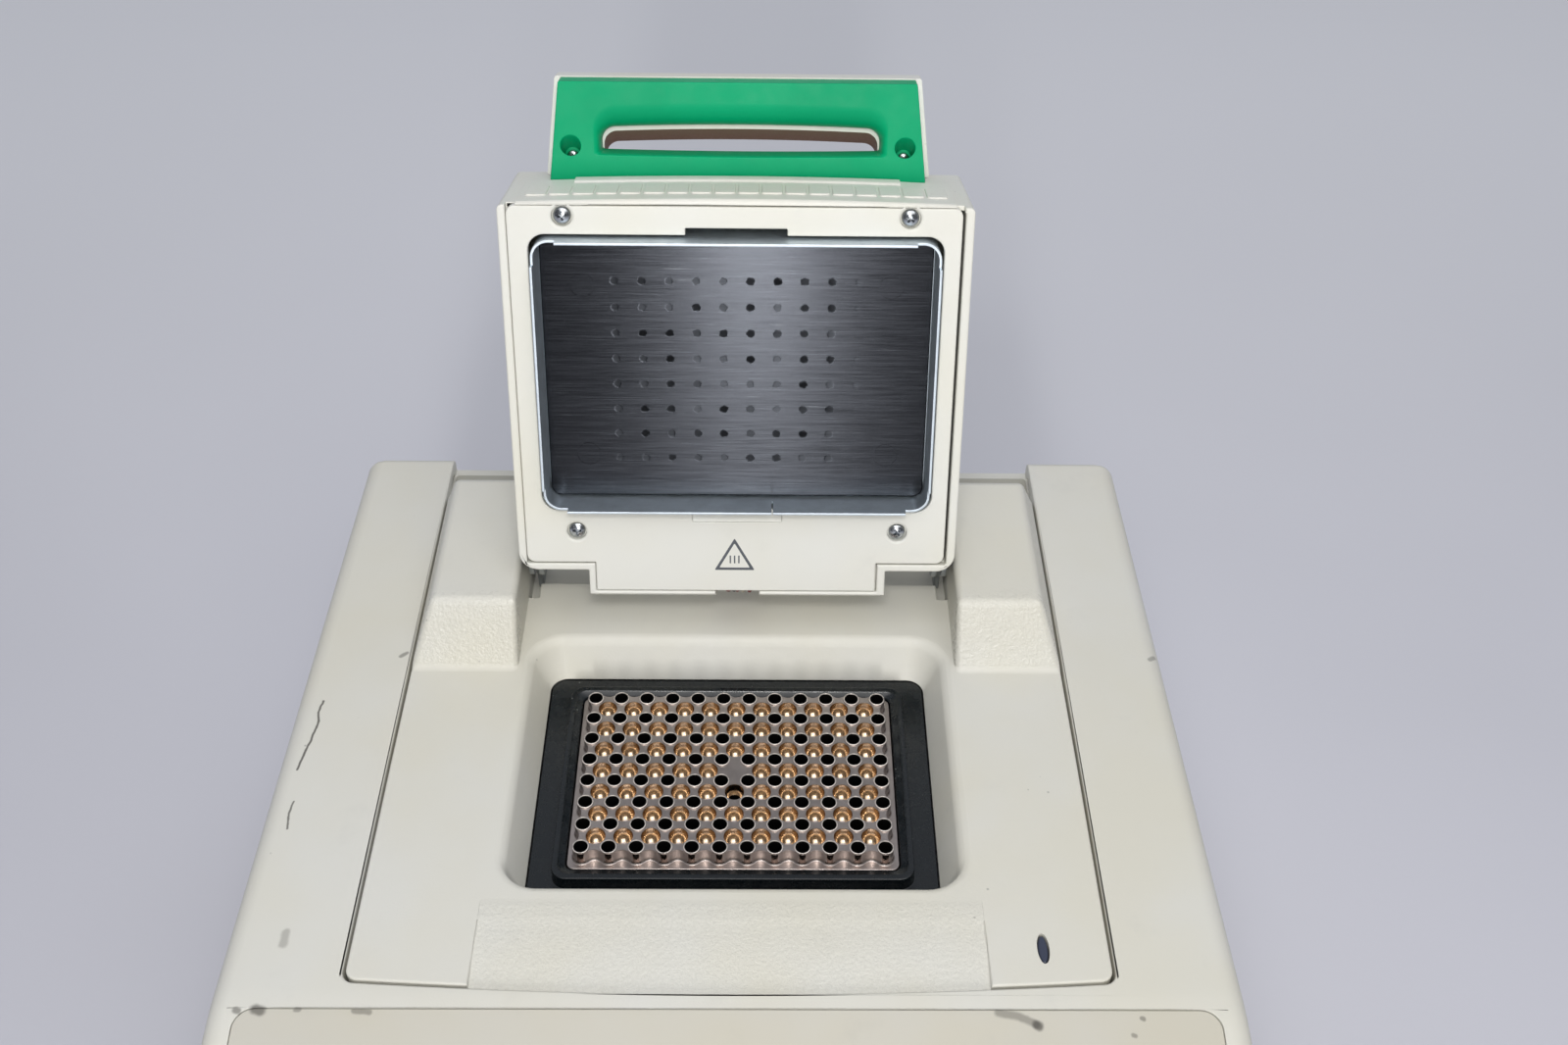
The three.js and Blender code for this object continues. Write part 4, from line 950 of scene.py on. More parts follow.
def keys():
    """A generic layout with no lettering: soft keys, numbers, a cursor cross, start, stop and entry."""
    cursor = ((-96, -60), (-96, -88), (-116, -74), (-76, -74))
    numbers = [(x, y) for x in (84, 103, 122) for y in (-44, -59, -74, -89)]
    entry = [key(x, -118, 9, 5.4) for x in (-36, -12, 12, 36)]
    groups = {
        "keys_soft": (key_dark, [key(x, -97, 9, 4.2) for x in (-48, -24, 0, 24, 48)]),
        "keys_numbers": (key_grey, [key(x, y, 8, 5.4) for x, y in numbers]),
        "keys_cursor": (key_grey, [key(x, y, 8, 5) for x, y in cursor]),
        "key_start": (key_green, [key(-96, -118, 17, 6)]),
        "key_stop": (key_red, [key(-96, -138, 17, 6)]),
        "keys_entry": (key_grey, [key(103, -110, 27, 5.4), *entry]),
    }
    for name, (look, made) in groups.items():
        place(merged(*made), name, PANEL, look, body="chassis")
    lamp = [(2.2, -0.3), (2.2, 0.05), (1.9, 0.3), (1.0, 0.5), (0, 0.55)]
    lamps = merged(*[turned(lamp, (x, -97)) for x in (-118, -106)])
    place(lamps, "panel_lamps", PANEL, lens_smoke, body="chassis")


# ---- Back ----

PANEL_BACK = BACK - WALL - GAP
SEAT = PANEL_BACK + GAP  # the sockets' flanges reach from SEAT to FACE
FACE = SEAT + 2.4
FAN_Z = -67.6
FAN_BACK = 149.4
FAN_FRONT = FAN_BACK - 25
INLET = (-98, -142)
SWITCH = (-52, -142)
SERIAL = (88, -142)
BACK_SCREWS = ((-132, -30), (132, -30), (-132, -168), (132, -168), (0, -168), (-70, -30))
FAN_BOLTS = [(x, z) for x in (-35.7, 35.7) for z in (-35.7, 35.7)]  # from the fan's middle
BLADE_SECTION = (
    (-1, 0.1), (-0.5, 0.7), (0, 0.9), (0.5, 0.7), (1, 0.1), (0.5, -0.7), (0, -0.9), (-0.5, -0.7),
)
FACING_BACK = BENCH @ Matrix.Rotation(-math.pi / 2, 4, "X")  # its Z points out of the back panel


def around(at, half_x, half_z, radius, steps=5):
    """An outline across Y, round a centre (x, z)."""
    x, z = at
    outline = rounded(x - half_x, x + half_x, z - half_z, z + half_z, radius, steps)
    return [(b, a) for a, b in outline]


def back_panel():
    plate = block((-142, 142), (PANEL_BACK - 1.8, PANEL_BACK), (-180, -18))
    vents = [prism(rounded(z - 2.5, z + 2.5, 62, 126, 2.4, 5), "y", 100, 200) for z in range(-100, -30, 11)]
    cut(
        plate,
        turned([(38, 100), (38, 200)], (FAN_Z, 0), "y", 64),
        prism(around(INLET, 14.5, 10.5, 1), "y", 100, 200),
        prism(around(SWITCH, 13, 9.5, 1), "y", 100, 200),
        prism(around(SERIAL, 10.5, 6, 1), "y", 100, 200),
        merged(*vents),
    )
    place(softened(tidied(plate), 0.25, 2), "back_plate", BENCH, painted, "back_panel")
    rating = slab(around((-20, -142), 14, 9, 1.5), "y", PANEL_BACK - 0.1, PANEL_BACK + 0.2, 0.08)
    place(rating, "blank_plate", BENCH, aluminium, body="chassis")
    for i, (x, z) in enumerate(BACK_SCREWS):
        at = (x, -z, PANEL_BACK)
        screw_at(f"back_screw_{i + 1}", FACING_BACK, at, body="chassis", radius=2.9, height=1.7, turn=31 * i)


def fan():
    half, front = 40, FAN_FRONT
    case = prism(around((0, FAN_Z), half, half, 5, 8), "y", front, FAN_BACK)
    funnel = [(38.6, front - 1), (38.6, front + 0.5), (37.6, front + 3)]
    funnel += [(37.6, FAN_BACK - 3), (38.6, FAN_BACK - 0.5), (38.6, FAN_BACK + 1)]
    bolts = [turned([(2.1, front - 1), (2.1, FAN_BACK + 1)], (FAN_Z + z, x), "y", 20) for x, z in FAN_BOLTS]
    cut(case, turned(funnel, (FAN_Z, 0), "y", 72), merged(*bolts))
    hub = turned([(15, front), (15, front + 2.6), (14.6, front + 3)], (FAN_Z, 0), "y", 40)
    bars = [block((-38.5, 38.5), (front, front + 3), (-2, 2)) for _ in range(3)]
    for i, bar in enumerate(bars):
        moved(moved(bar, turn=60 * i + 15, axis="Y"), (0, 0, FAN_Z))
    joined(case, hub, *bars)
    place(softened(tidied(case), 0.4, 2), "fan_case", BENCH, black_plastic, "fan_frame")
    place(fan_rotor(), "fan_impeller", BENCH, black_plastic, "fan_rotor")


def fan_rotor():
    """Hub and seven swept, twisted blades. Drawn about the axis, then lifted to the fan's height."""
    front, middle = FAN_FRONT, (FAN_FRONT + FAN_BACK) / 2
    side = [(9, front + 4), (14, front + 4), (14, FAN_BACK - 3.2), (13.2, FAN_BACK - 2.3), (11, FAN_BACK - 2)]
    hub = turned(side, (0, 0), "y", 48)
    dish = turned([(9.5, FAN_BACK - 2.6), (9.5, FAN_BACK)], (0, 0), "y", 40)
    cut(hub, dish)
    blades = []
    for i in range(7):
        rings = []
        for step in range(9):
            share = step / 8
            radius = 12.5 + share * 23
            pitch = math.radians(52 - 22 * share)
            chord = 8 + 2.5 * share
            lead = i * math.tau / 7 + 0.35 * share**2
            points = []
            for u, thick in BLADE_SECTION:
                camber = 1.4 * (1 - u * u)
                axial = u * chord * math.cos(pitch) + (thick + camber) * math.sin(pitch)
                round_way = u * chord * math.sin(pitch) - (thick + camber) * math.cos(pitch)
                angle = lead + round_way / radius
                points.append((radius * math.cos(angle), middle + 1 + axial * 0.82, radius * math.sin(angle)))
            rings.append(points)
        blades.append(solid(rings))
    joined(hub, *blades)
    return moved(hub, (0, 0, FAN_Z))


def fan_guard():
    wire = 1.1
    out = 160 - wire - 0.1
    hoops = [ring_wire((FAN_Z, 0, out), "y", radius, wire) for radius in (10, 19, 28, 37)]
    rods = []
    for angle in (45, 135):
        c, s = math.cos(math.radians(angle)), math.sin(math.radians(angle))
        path = []
        for t in [-1 + i / 16 for i in range(33)]:
            reach = 50.5 * t
            drop = max(0.0, abs(t) - 0.82) / 0.18
            y = out - 1.5 - (out - 1.5 - PANEL_BACK - 1.6) * (3 * drop**2 - 2 * drop**3)
            path.append((reach * c, y, FAN_Z + reach * s))
        rods.append(swept(path, wire))
    tabs = [ring_wire((FAN_Z + z, x, PANEL_BACK + 1.5), "y", 3.3, wire, 24) for x, z in FAN_BOLTS]
    place(merged(*hoops, *rods, *tabs), "fan_grille", BENCH, wire_metal, "fan_guard")
    for i, (x, z) in enumerate(FAN_BOLTS):
        at = (x, -FAN_Z - z, PANEL_BACK + 2.2)
        screw_at(f"fan_screw_{i + 1}", FACING_BACK, at, body="chassis", radius=2.7, height=1.6, turn=25 * i)


def flanged(at, box, depth, flange, edge):
    """A socket's body with its flange on the panel. box and flange are (half width, half height, corner)."""
    return joined(
        prism(around(at, *box), "y", SEAT - depth, FACE - 0.5),
        slab(around(at, *flange), "y", SEAT, FACE, edge),
    )


def mains_inlet():
    inlet = flanged(INLET, (14, 10, 1.5), 24, (25, 12.5, 3), 0.5)
    x, z = INLET
    mouth = [(-8, -12), (-8, 12), (3.4, 12), (8, 7.5), (8, -7.5), (3.4, -12)]
    cut(inlet, prism([(z + up, x + out) for up, out in mouth], "y", FACE - 17, FACE + 1))
    place(softened(tidied(inlet), 0.4, 2), "inlet_body", BENCH, black_plastic, "power_inlet")
    pins = [slab(around((x + dx, z + dz), 1, 2, 0.3, 2), "y", FACE - 17.4, FACE - 3, 0.3)
            for dx, dz in ((-7, -2), (0, 3), (7, -2))]
    place(merged(*pins), "inlet_pins", BENCH, wire_metal, body="chassis")
    for i, dx in enumerate((-20, 20)):
        screw_at(f"inlet_screw_{i + 1}", FACING_BACK, (x + dx, -z, FACE - 0.4), body="chassis", radius=2.6,
                 height=1.3)


def mains_switch():
    switch = flanged(SWITCH, (12.5, 9, 1), 18, (15.5, 11.5, 2), 0.6)
    cut(switch, prism(around(SWITCH, 10, 7, 0.8), "y", FACE - 12, FACE + 1))
    place(softened(tidied(switch), 0.35, 2), "switch_frame", BENCH, black_plastic, "power_switch")
    crown = [(6.4, 3.0), (3.2, 4.0), (1.0, 4.7), (-1.0, 4.7), (-3.2, 4.0), (-6.4, 3.0)]
    rocker = moved(prism([(-6.4, -3.4), (6.4, -3.4), *crown], "x", -9.5, 9.5), turn=90, axis="X")
    softened(tidied(rocker), 0.5, 3)
    moved(rocker, (SWITCH[0], FACE - 5, SWITCH[1]), turn=7, axis="X")
    place(rocker, "rocker_cap", BENCH, black_plastic, "power_rocker")


def serial_port():
    port = flanged(SERIAL, (10, 5.5, 1), 12, (16, 6.3, 1.2), 0.4)
    cut(port, prism(around(SERIAL, 8.6, 4.1, 2.2), "y", FACE - 6, FACE + 1))
    place(softened(tidied(port), 0.3, 2), "port_shell", BENCH, sheet_steel, "serial_port")
    x, z = SERIAL
    core = slab(around(SERIAL, 7, 2.6, 1.4), "y", FACE - 6.2, FACE - 1.6, 0.3)
    pin_pitch = 2.6
    pin_rows = [(i - 2, 1.1) for i in range(5)] + [(i - 1.5, -1.1) for i in range(4)]
    holes = [turned([(0.55, FACE - 5), (0.55, FACE)], (z + dz, x + share * pin_pitch), "y", 12)
             for share, dz in pin_rows]
    cut(core, merged(*holes))
    place(core, "port_insert", BENCH, key_dark, body="chassis")
    nuts = []
    for dx in (-12.9, 12.9):
        nut = turned([(2.5, FACE - 0.3), (2.5, FACE + 3.6), (2.1, FACE + 4.2)], (z, x + dx), "y", 6)
        nuts.append(cut(nut, turned([(1.3, FACE + 1), (1.3, FACE + 6)], (z, x + dx), "y", 20)))
    place(merged(*nuts), "port_nuts", BENCH, zinc, body="chassis")


# ---- Block module ----


def shoulder(sign, inset):
    inner = SHOULDER_INNER + inset
    top = SHOULDER_TOP - inset
    outer_top = 107.6 - inset
    outer_foot = MODULE_HALF_WIDTH - inset * 1.2
    base = LEDGE - 6
    across = [(base, inner), (base, outer_foot), (DECK, outer_foot), (top, outer_top), (top, inner)]
    lengthwise = [
        (41.6 + inset, base),
        (134.6 - inset, base),
        (134.6 - inset, LEDGE),
        (117 - inset, top),
        (53.3 + inset, top),
        (41.6 + inset, DECK),
    ]
    across = [(z, sign * x) for z, x in across]
    return common(prism(across, "y", 30, 145), prism(lengthwise, "x", -130, 130))


BASIN = {"half": 73.7, "front": -50.0, "back": 56.4, "radius": 12}
BASIN_FOOT = {"half": 67.3, "y": 48.8, "z": -10}
BASIN_LIP = 3.0
BASIN_FRONT_LIP = 1.3


def basin_ring(z, margin, front_margin=None):
    share = (DECK - z) / (DECK - BASIN_FOOT["z"])

    def mixed(top, foot):
        return top + (foot - top) * share

    half = mixed(BASIN["half"], BASIN_FOOT["half"]) + margin
    back = mixed(BASIN["back"], BASIN_FOOT["y"]) + margin
    front = mixed(BASIN["front"], -BASIN_FOOT["y"]) - (margin if front_margin is None else front_margin)
    radius = BASIN["radius"] - 6.5 * min(1.0, share) + margin
    return at_height(rounded(-half, half, front, back, radius, 12), z)


def basin():
    """The cutter for the basin over the block: sloping walls that roll over into the deck."""
    rings = [basin_ring(BASIN_FOOT["z"] - 1, 0)]
    roll_start = DECK - BASIN_LIP
    rings.append(basin_ring(roll_start - 0.5, 0))
    for i in range(13):
        rise = i / 12 * BASIN_LIP
        front_rise = max(0.0, rise - BASIN_LIP + BASIN_FRONT_LIP)
        spread = BASIN_LIP - math.sqrt(BASIN_LIP**2 - rise**2)
        front_spread = BASIN_FRONT_LIP - math.sqrt(max(0.0, BASIN_FRONT_LIP**2 - front_rise**2))
        rings.append(basin_ring(roll_start + rise, spread * 0.9, front_spread))
    last = [(x, y, DECK + 1) for x, y, _ in rings[-1]]
    return solid([*rings, last])


def finger_patch():
    """Cuts the thumb rest, which rolls down towards the front edge."""
    outline = [(PATCH["start"] + 0.5, DECK + 2)]
    for i in range(17):
        share = i / 16
        step = 0.35 * min(1.0, share * 8)
        outline.append((PATCH["start"] - share * 30, DECK - step - 2.4 * (1 - math.cos(share * math.pi / 2))))
    outline.append((-95, DECK - 3))
    outline.append((-95, DECK + 2))
    return prism(outline, "x", -PATCH["half"], PATCH["half"])


LENS = {"x": 95.5, "y": -71.4, "half_x": 1.6, "half_y": 5}


def lens_outline(margin):
    return arc((LENS["x"], LENS["y"]), (LENS["half_x"] + margin, LENS["half_y"] + margin), 0, 360, 40)[:-1]


def cover_slab(bottom, top, ledge, ledge_start, margin):
    """The module's plan between two heights, stepped down to the ledge at the back."""
    front, back = -95, MODULE_BACK
    side_view = [(front, bottom), (back, bottom), (back, ledge)]
    side_view += [(ledge_start, ledge), (ledge_start, top), (front, top)]
    return common(prism(side_view, "x", -130, 130), prism(module_plan(margin), "z", -60, 60))


def module_cover():
    cover = cover_slab(-22, DECK, LEDGE, LEDGE_START, 0)
    joined(cover, shoulder(-1, 0), shoulder(1, 0))
    room = cover_slab(-23, DECK - WALL, LEDGE - SKIN, LEDGE_START - SKIN, -SKIN)
    cut(cover, room, shoulder(-1, SKIN), shoulder(1, SKIN))
    lining = solid([basin_ring(BASIN_FOOT["z"], SKIN), basin_ring(1, SKIN)])
    joined(cover, lining)
    notches = [block((x - 1.9, x + 1.9), (76.7, LEDGE_START + 1), (LEDGE, DECK + 1)) for x in (-75.8, 75.8)]
    cut(cover, basin(), finger_patch(), *notches)
    tidied(cover, x=(0,), y=(0,))

    def width(at):
        if at.z > SHOULDER_TOP - 1:
            return 2.4
        if at.z > DECK + 0.5:
            return 2.0
        if abs(at.z - DECK) >= 0.5:
            return 0.3
        if at.y <= 40:
            return 0.8
        return 0.5 if abs(at.x) < SHOULDER_INNER + 1 else 2.0

    softened(cover, 2.4, 5, sharper_than=12, wanted=width)
    cut(cover, prism(lens_outline(GAP), "z", -30, 10))
    place(cover, "module_cover_shell", BENCH, cover_plastic, "module_cover")
    dome = solid([at_height(lens_outline(inset), z) for inset, z in
                  ((0, -2), (0, DECK - 1.1), (-0.15, DECK - 0.8), (-0.5, DECK - 0.5), (-1.1, DECK - 0.4))])
    place(dome, "status_lens_cap", BENCH, lens_smoke, "status_lens")


def block_frame():
    """A black moulding round the block: a flat flange, then a rounded rib that slopes in to the block."""
    sections = [
        (67.0, 48.5, 5.0, -20),
        (67.0, 48.5, 5.0, -10.4),
        (66.8, 48.3, 4.9, -10.05),
        (66.4, 47.9, 4.7, -10),
        (59.7, 41.7, 5.6, -10),
        (59.2, 41.2, 5.2, -9.8),
        (59.0, 41.0, 5.0, -9.2),
        (59.0, 41.0, 5.0, -5.2),
        (58.8, 40.8, 4.9, -4.7),
        (58.3, 40.3, 4.6, -4.5),
        (57.2, 39.0, 3.9, -4.5),
        (56.9, 38.7, 3.7, -4.6),
        (56.6, 38.4, 3.5, -4.95),
        (54.9, 36.9, 2.8, -5.5),
        (54.6, 36.6, 2.6, -5.9),
        (54.6, 36.6, 2.6, -20),
    ]
    rim = solid([at_height(centred(x, y, r, 12), z) for x, y, r, z in sections], closed=True)
    place(rim, "block_surround", BENCH, black_moulding, "block_frame")


def well_centres():
    return [
        ((column - (COLUMNS - 1) / 2) * WELL_PITCH, (row - (ROWS - 1) / 2) * WELL_PITCH)
        for column in range(COLUMNS)
        for row in range(ROWS)
    ]


def scalloped(tube):
    """The block's outline: round the outer wells and in between them."""
    half_x = (COLUMNS - 1) / 2 * WELL_PITCH
    half_y = (ROWS - 1) / 2 * WELL_PITCH
    bay = WELL_PITCH / math.sqrt(2) - tube
    points = []
    for turn, count, start, step in (
        (0, COLUMNS, (-half_x, -half_y), (1, 0)),
        (90, ROWS, (half_x, -half_y), (0, 1)),
        (180, COLUMNS, (half_x, half_y), (-1, 0)),
        (270, ROWS, (-half_x, half_y), (0, -1)),
    ):
        out = (step[1], -step[0])
        for i in range(count):
            well = (start[0] + i * WELL_PITCH * step[0], start[1] + i * WELL_PITCH * step[1])
            points += arc(well, tube, 225 + turn, 315 + turn, 8)
            if i < count - 1:
                middle = [well[k] + WELL_PITCH / 2 * (step[k] + out[k]) for k in (0, 1)]
                points += arc(middle, bay, 135 + turn, 45 + turn, 8)[1:-1]
    return points


def deduplicated(points):
    kept = []
    for point in points:
        if not kept or math.dist(point, kept[-1]) > 1e-3:
            kept.append(point)
    if math.dist(kept[0], kept[-1]) < 1e-3:
        kept.pop()
    return kept


TUBE = 2.73
CUP = 3.22
WEB_TOP = -0.55
BLOCK_LEDGE = -5.8
BLANK_CUP = (0.0, 0.0)  # the flat pad in the middle of the block
SENSOR_CUP = (0.0, -9.0)
SENSOR_RADIUS = 2.2


def cup_centres():
    xs = [(i - 5) * WELL_PITCH for i in range(COLUMNS - 1)]
    ys = [(i - 3) * WELL_PITCH for i in range(ROWS - 1)]
    return [(x, y) for x in xs for y in ys if (x, y) != BLANK_CUP]


def sample_block():
    fillet = ((0.05, -10), (0.9, BLOCK_LEDGE - 0.1), (0.5, BLOCK_LEDGE + 0.15), (0.2, BLOCK_LEDGE + 0.5),
              (0.05, BLOCK_LEDGE + 1), (0.05, WEB_TOP))
    shape = solid([at_height(deduplicated(scalloped(TUBE + grown)), z) for grown, z in fillet])
    foot = slab(centred(54.2, 36.3, 2.5), "z", -22, BLOCK_LEDGE, 0.3)
    rims = [
        turned([(TUBE - 0.1, -2), (TUBE - 0.02, -0.3), (TUBE - 0.07, -0.08), (TUBE - 0.2, 0)], at, steps=28)
        for at in well_centres()
    ]
    joined(shape, foot, merged(*rims))
    bore = [(1.0, -13.9), (1.5, -13.2), (1.75, -12), (2.27, -0.6), (2.32, -0.2), (2.44, 0.02), (2.5, 0.3)]
    cut(shape, merged(*[turned(bore, at, steps=28) for at in well_centres()]))
    angles = [math.radians(angle) for angle in range(4, 90, 9)]
    bowl = [(CUP * math.sin(t), -2.7 - 3.2 * math.cos(t)) for t in angles]
    cup = [*bowl, (CUP, -2.5), (CUP, WEB_TOP - 0.2), (CUP + 0.06, WEB_TOP + 0.05), (CUP + 0.06, 0.4)]
    cut(shape, merged(*[turned(cup, at, steps=28) for at in cup_centres()]))
    cut(shape, turned([(SENSOR_RADIUS, -14), (SENSOR_RADIUS, -4)], SENSOR_CUP, steps=24))

    def within(at, offset, radius):
        """Whether a point is over one of the centres that lie a pitch apart, offset from the middle."""
        nearest = [round((value - offset) / WELL_PITCH) * WELL_PITCH + offset for value in (at.x, at.y)]
        return math.dist((at.x, at.y), nearest) < radius

    plain, cup_side, bore_side, rim, outer_wall = range(5)

    def region(at, normal):
        if min(abs(at.z - WEB_TOP), abs(at.z - BLOCK_LEDGE)) < 0.1 and normal.z > 0.95:
            return plain
        inside_grid = abs(at.x) < 52 and abs(at.y) < 34
        # Painted shade: the well bores and the sensor hole get the near-black material.
        if inside_grid and at.z < -0.15 and within(at, WELL_PITCH / 2, 2.4):
            return bore_side
        if math.dist((at.x, at.y), SENSOR_CUP) < SENSOR_RADIUS + 0.05 and at.z < -5.1:
            return bore_side
        # Painted highlight: the rims round the well mouths get the brighter metal.
        if inside_grid and at.z > -0.32 and within(at, WELL_PITCH / 2, TUBE + 0.02):
            return rim
        # Painted shade: the block's outer walls above the ledge get the darker metal.
        if not inside_grid and BLOCK_LEDGE + 0.4 < at.z < WEB_TOP - 0.05:
            return outer_wall
        in_cups = abs(at.x) < 49 and abs(at.y) < 31
        return cup_side if in_cups and at.z < WEB_TOP - 0.2 and within(at, 0, CUP + 0.05) else plain

    looks = [block_metal, cup_metal, well_painted_shade, rim_painted_highlight, wall_metal_painted_shade]
    place(paint(shape, region), "well_block", BENCH, looks, "sample_block", smooth_below=35)


# ---- Lid ----

HINGE_NOTCH = 7.7
INNER_HALF = 73.1
INNER_START = 8.4
INNER_SHIFT = -0.5  # the inner cover sits a little to the left in the shell
TAB_HALF = 49.2
TAB_START = -2.6
LIP_HALF = 52.2
LIP_START = -4.3
WINDOW = {"half": 67.2, "low": 28.6, "high": 125.9, "radius": 5.5}
LID_SCREW_X = 55.8
LID_SCREW_LOW = 20.4
LID_SCREW_HIGH = 131.8
LID_SCREWS = [(x, y) for y in (LID_SCREW_HIGH, LID_SCREW_LOW) for x in (-LID_SCREW_X, LID_SCREW_X)]
ARM_X = 71  # where the hinge arms enter the lid
WHEEL_RADIUS = 21.5


def lid_side(inset):
    """The lid's side view: (distance from the hinge, height over it)."""
    end = LID_END - (1.7 if inset else 0)
    start = 5.3 + inset
    heel = arc((28, -8), (28 - start, 22.4 - inset), 180, 270, 10)
    return [(start, LID_FACE + 1), *heel, (end, LID_BACK + inset), (end, LID_FACE + 1)]


def lid_shell():
    half = LID_HALF_WIDTH
    plan = [*arc((half - 6.5, 11.8), 6.5, -90, 0, 10), (half, LID_END), (-half, LID_END),
            *arc((-half + 6.5, 11.8), 6.5, 180, 270, 10)]
    shell = common(prism(lid_side(0), "x", -half, half), prism(plan, "z", LID_BACK - 1, LID_FACE))
    room = prism(lid_side(SKIN), "x", -half + SKIN, half - SKIN)
    cut(shell, room)
    barrel = turned([(12, -LIP_HALF + 0.4), (12, LIP_HALF - 0.4)], (0, 0), "x", 48)
    lip = block((-LIP_HALF, LIP_HALF), (LIP_START, 5.3 + SKIN), (0, LID_FACE))
    floor = turned([(WHEEL_RADIUS + 5, LID_BACK + 2), (WHEEL_RADIUS + 5, -22.5)], (0, PLATE_CENTRE), steps=48)
    joined(shell, barrel, lip, floor)
    left, right = INNER_SHIFT - 0.15, INNER_SHIFT + 0.55
    rebate = block((-INNER_HALF + left, INNER_HALF + right), (INNER_START - 0.5, 150), (14.3, 30))
    tab = block((-TAB_HALF + left, TAB_HALF + right), (TAB_START - 0.25, 20), (14.3, 30))
    dish = turned([(WHEEL_RADIUS + 2, -33), (WHEEL_RADIUS + 2, -25.5)], (0, PLATE_CENTRE), steps=64)
    bore = turned([(4.6, -40), (4.6, 0)], (0, PLATE_CENTRE))
    shaft = turned([(3, -90), (3, 90)], (0, 0), "x", 24)
    notch = joined(
        block((-HINGE_NOTCH, HINGE_NOTCH), (-20, 9), (-12.5, 14.4)),
        block((-HINGE_NOTCH, HINGE_NOTCH), (-20, TAB_START - 0.25), (10, 20)),
    )
    arms = [block((x - 1.5, x + 1.5), (-20, 12), (-7, 8)) for x in (-ARM_X, ARM_X)]
    cut(shell, joined(rebate, tab), dish, bore, shaft, notch, *arms)

    def width(at):
        on_back = at.z < LID_BACK + 0.5 or (at.y < 30 and abs(at.x) > half - 8 and at.z < 10)
        if on_back and (abs(at.x) > half - 0.5 or at.y > LID_END - 0.5):
            return 3.2
        if at.z > LID_FACE - 0.3:
            return 0.7
        if abs(abs(at.x) - half) < 0.3:
            return 2.0
        return 0.35

    softened(tidied(shell, x=(-ARM_X, 0, ARM_X), y=(PLATE_CENTRE,)), 3.2, 5, wanted=width)
    place(shell, "lid_housing", LID, lid_plastic, "lid_shell")


def inner_cover():
    low = 14.6
    left, right = -INNER_HALF + INNER_SHIFT, INNER_HALF + INNER_SHIFT
    plate = prism(rounded(left, right, INNER_START, 135.3, 3), "z", low, LID_FACE)
    joined(plate, block((-TAB_HALF + INNER_SHIFT, TAB_HALF + INNER_SHIFT), (TAB_START, 20), (low, LID_FACE)))
    window = rounded(-WINDOW["half"], WINDOW["half"], WINDOW["low"], WINDOW["high"], WINDOW["radius"], 12)
    top_notch = block((-16.4, 16.4), (120, WINDOW["high"] + 2.3), (10, 20))
    low_edge = WINDOW["low"]
    scoop = prism([(low_edge - 4.2, LID_FACE + 0.4), (low_edge - 4.2, LID_FACE - 0.2), (low_edge + 1, 15.4),
                   (low_edge + 3, LID_FACE + 0.4)], "x", -15.5, 15.5)
    sink = [(1.9, 10), (1.9, 15.2), (3.3, 15.2), (3.4, LID_FACE - 0.4), (3.9, LID_FACE + 0.05), (3.9, 20)]
    sinks = [turned(sink, at, steps=40) for at in LID_SCREWS]
    cut(plate, prism(window, "z", 10, 20), top_notch, scoop, merged(*sinks))
    tidied(plate, x=(-LID_SCREW_X, 0, LID_SCREW_X), y=(LID_SCREW_LOW, PLATE_CENTRE, LID_SCREW_HIGH))
    softened(plate, 0.55, 3, wanted=lambda at: 0.55 if at.z > LID_FACE - 0.2 else 0.25)
    place(plate, "lid_face_plate", LID, lid_plastic, "lid_inner_cover")


def heat_sign():
    """A plain printed triangle with three short strokes: a generic heat mark."""
    x, low, high, half = -0.9, 6.0, 17.6, 6.6

    def triangle(inset):
        wide = half - inset * 1.75
        corners = [(x - wide, low + inset), (x + wide, low + inset), (x, high - inset * 2)]
        points = []
        for corner, start in zip(corners, (150, 270, 30)):
            points += arc(corner, 0.25, start, start + 120, 4)
        return points

    z = (LID_FACE - 0.02, LID_FACE + 0.05)
    levels = [(0, z[0]), (0, z[1]), (0.95, z[1]), (0.95, z[0])]
    border = solid([at_height(triangle(inset), height) for inset, height in levels], closed=True)
    strokes = [block((x + dx - 0.25, x + dx + 0.25), (low + 2.4, low + 5.4), z) for dx in (-1.5, 0, 1.5)]
    sign = merged(border, *strokes)
    place(sign, "heat_mark", LID, ink, body="lid")


def nose_grip():
    """The bowed end of the lid, with a row of raised pads and a lip against the handle."""
    half, base, low = 70.5, LID_END + GAP, -11.4

    def bow(x):
        return LID_END + 0.9 + 1.3 * (1 - (x / (half - 1)) ** 2)

    rings = []
    edge = 1.6
    for i in range(61):
        x = -half + 2 * half * i / 60
        top = max(base + 0.4, bow(x))
        section = [(base, low), (top, low), *arc((top - edge, LID_FACE - edge), edge, 0, 90, 8)]
        section = [(max(base, w), z) for w, z in section] + [(base - 0.01, LID_FACE)]
        rings.append([(x, w, z) for w, z in section])
    bar = solid(rings)
    pads = []
    pitch = 7.63
    for i in range(18):
        x = (i - 8.5) * pitch
        top = bow(x)
        pad = rounded(-2.2, 10.2, x - 3.35, x + 3.35, 1.1, 4)
        pads.append(slab(pad, "y", top - 1.2, top + 0.55, 0.35))
    lip = []
    for i in range(41):
        x = -54 + 108 * i / 40
        top = bow(x) + 0.85
        section = [(base + 0.05, 0.05), (top - 0.4, 0.05), (top, 0.4), (top, 4.6)]
        section += [(top - 0.3, 5.2), (top - 0.9, 5.6), (base + 0.05, 5.6)]
        lip.append([(x, w, low + z) for w, z in section])
    joined(bar, *pads, solid(lip))
    softened(tidied(bar), 0.25, 2, sharper_than=40)
    place(bar, "lid_nose", LID, lid_plastic, "lid_nose_grip")


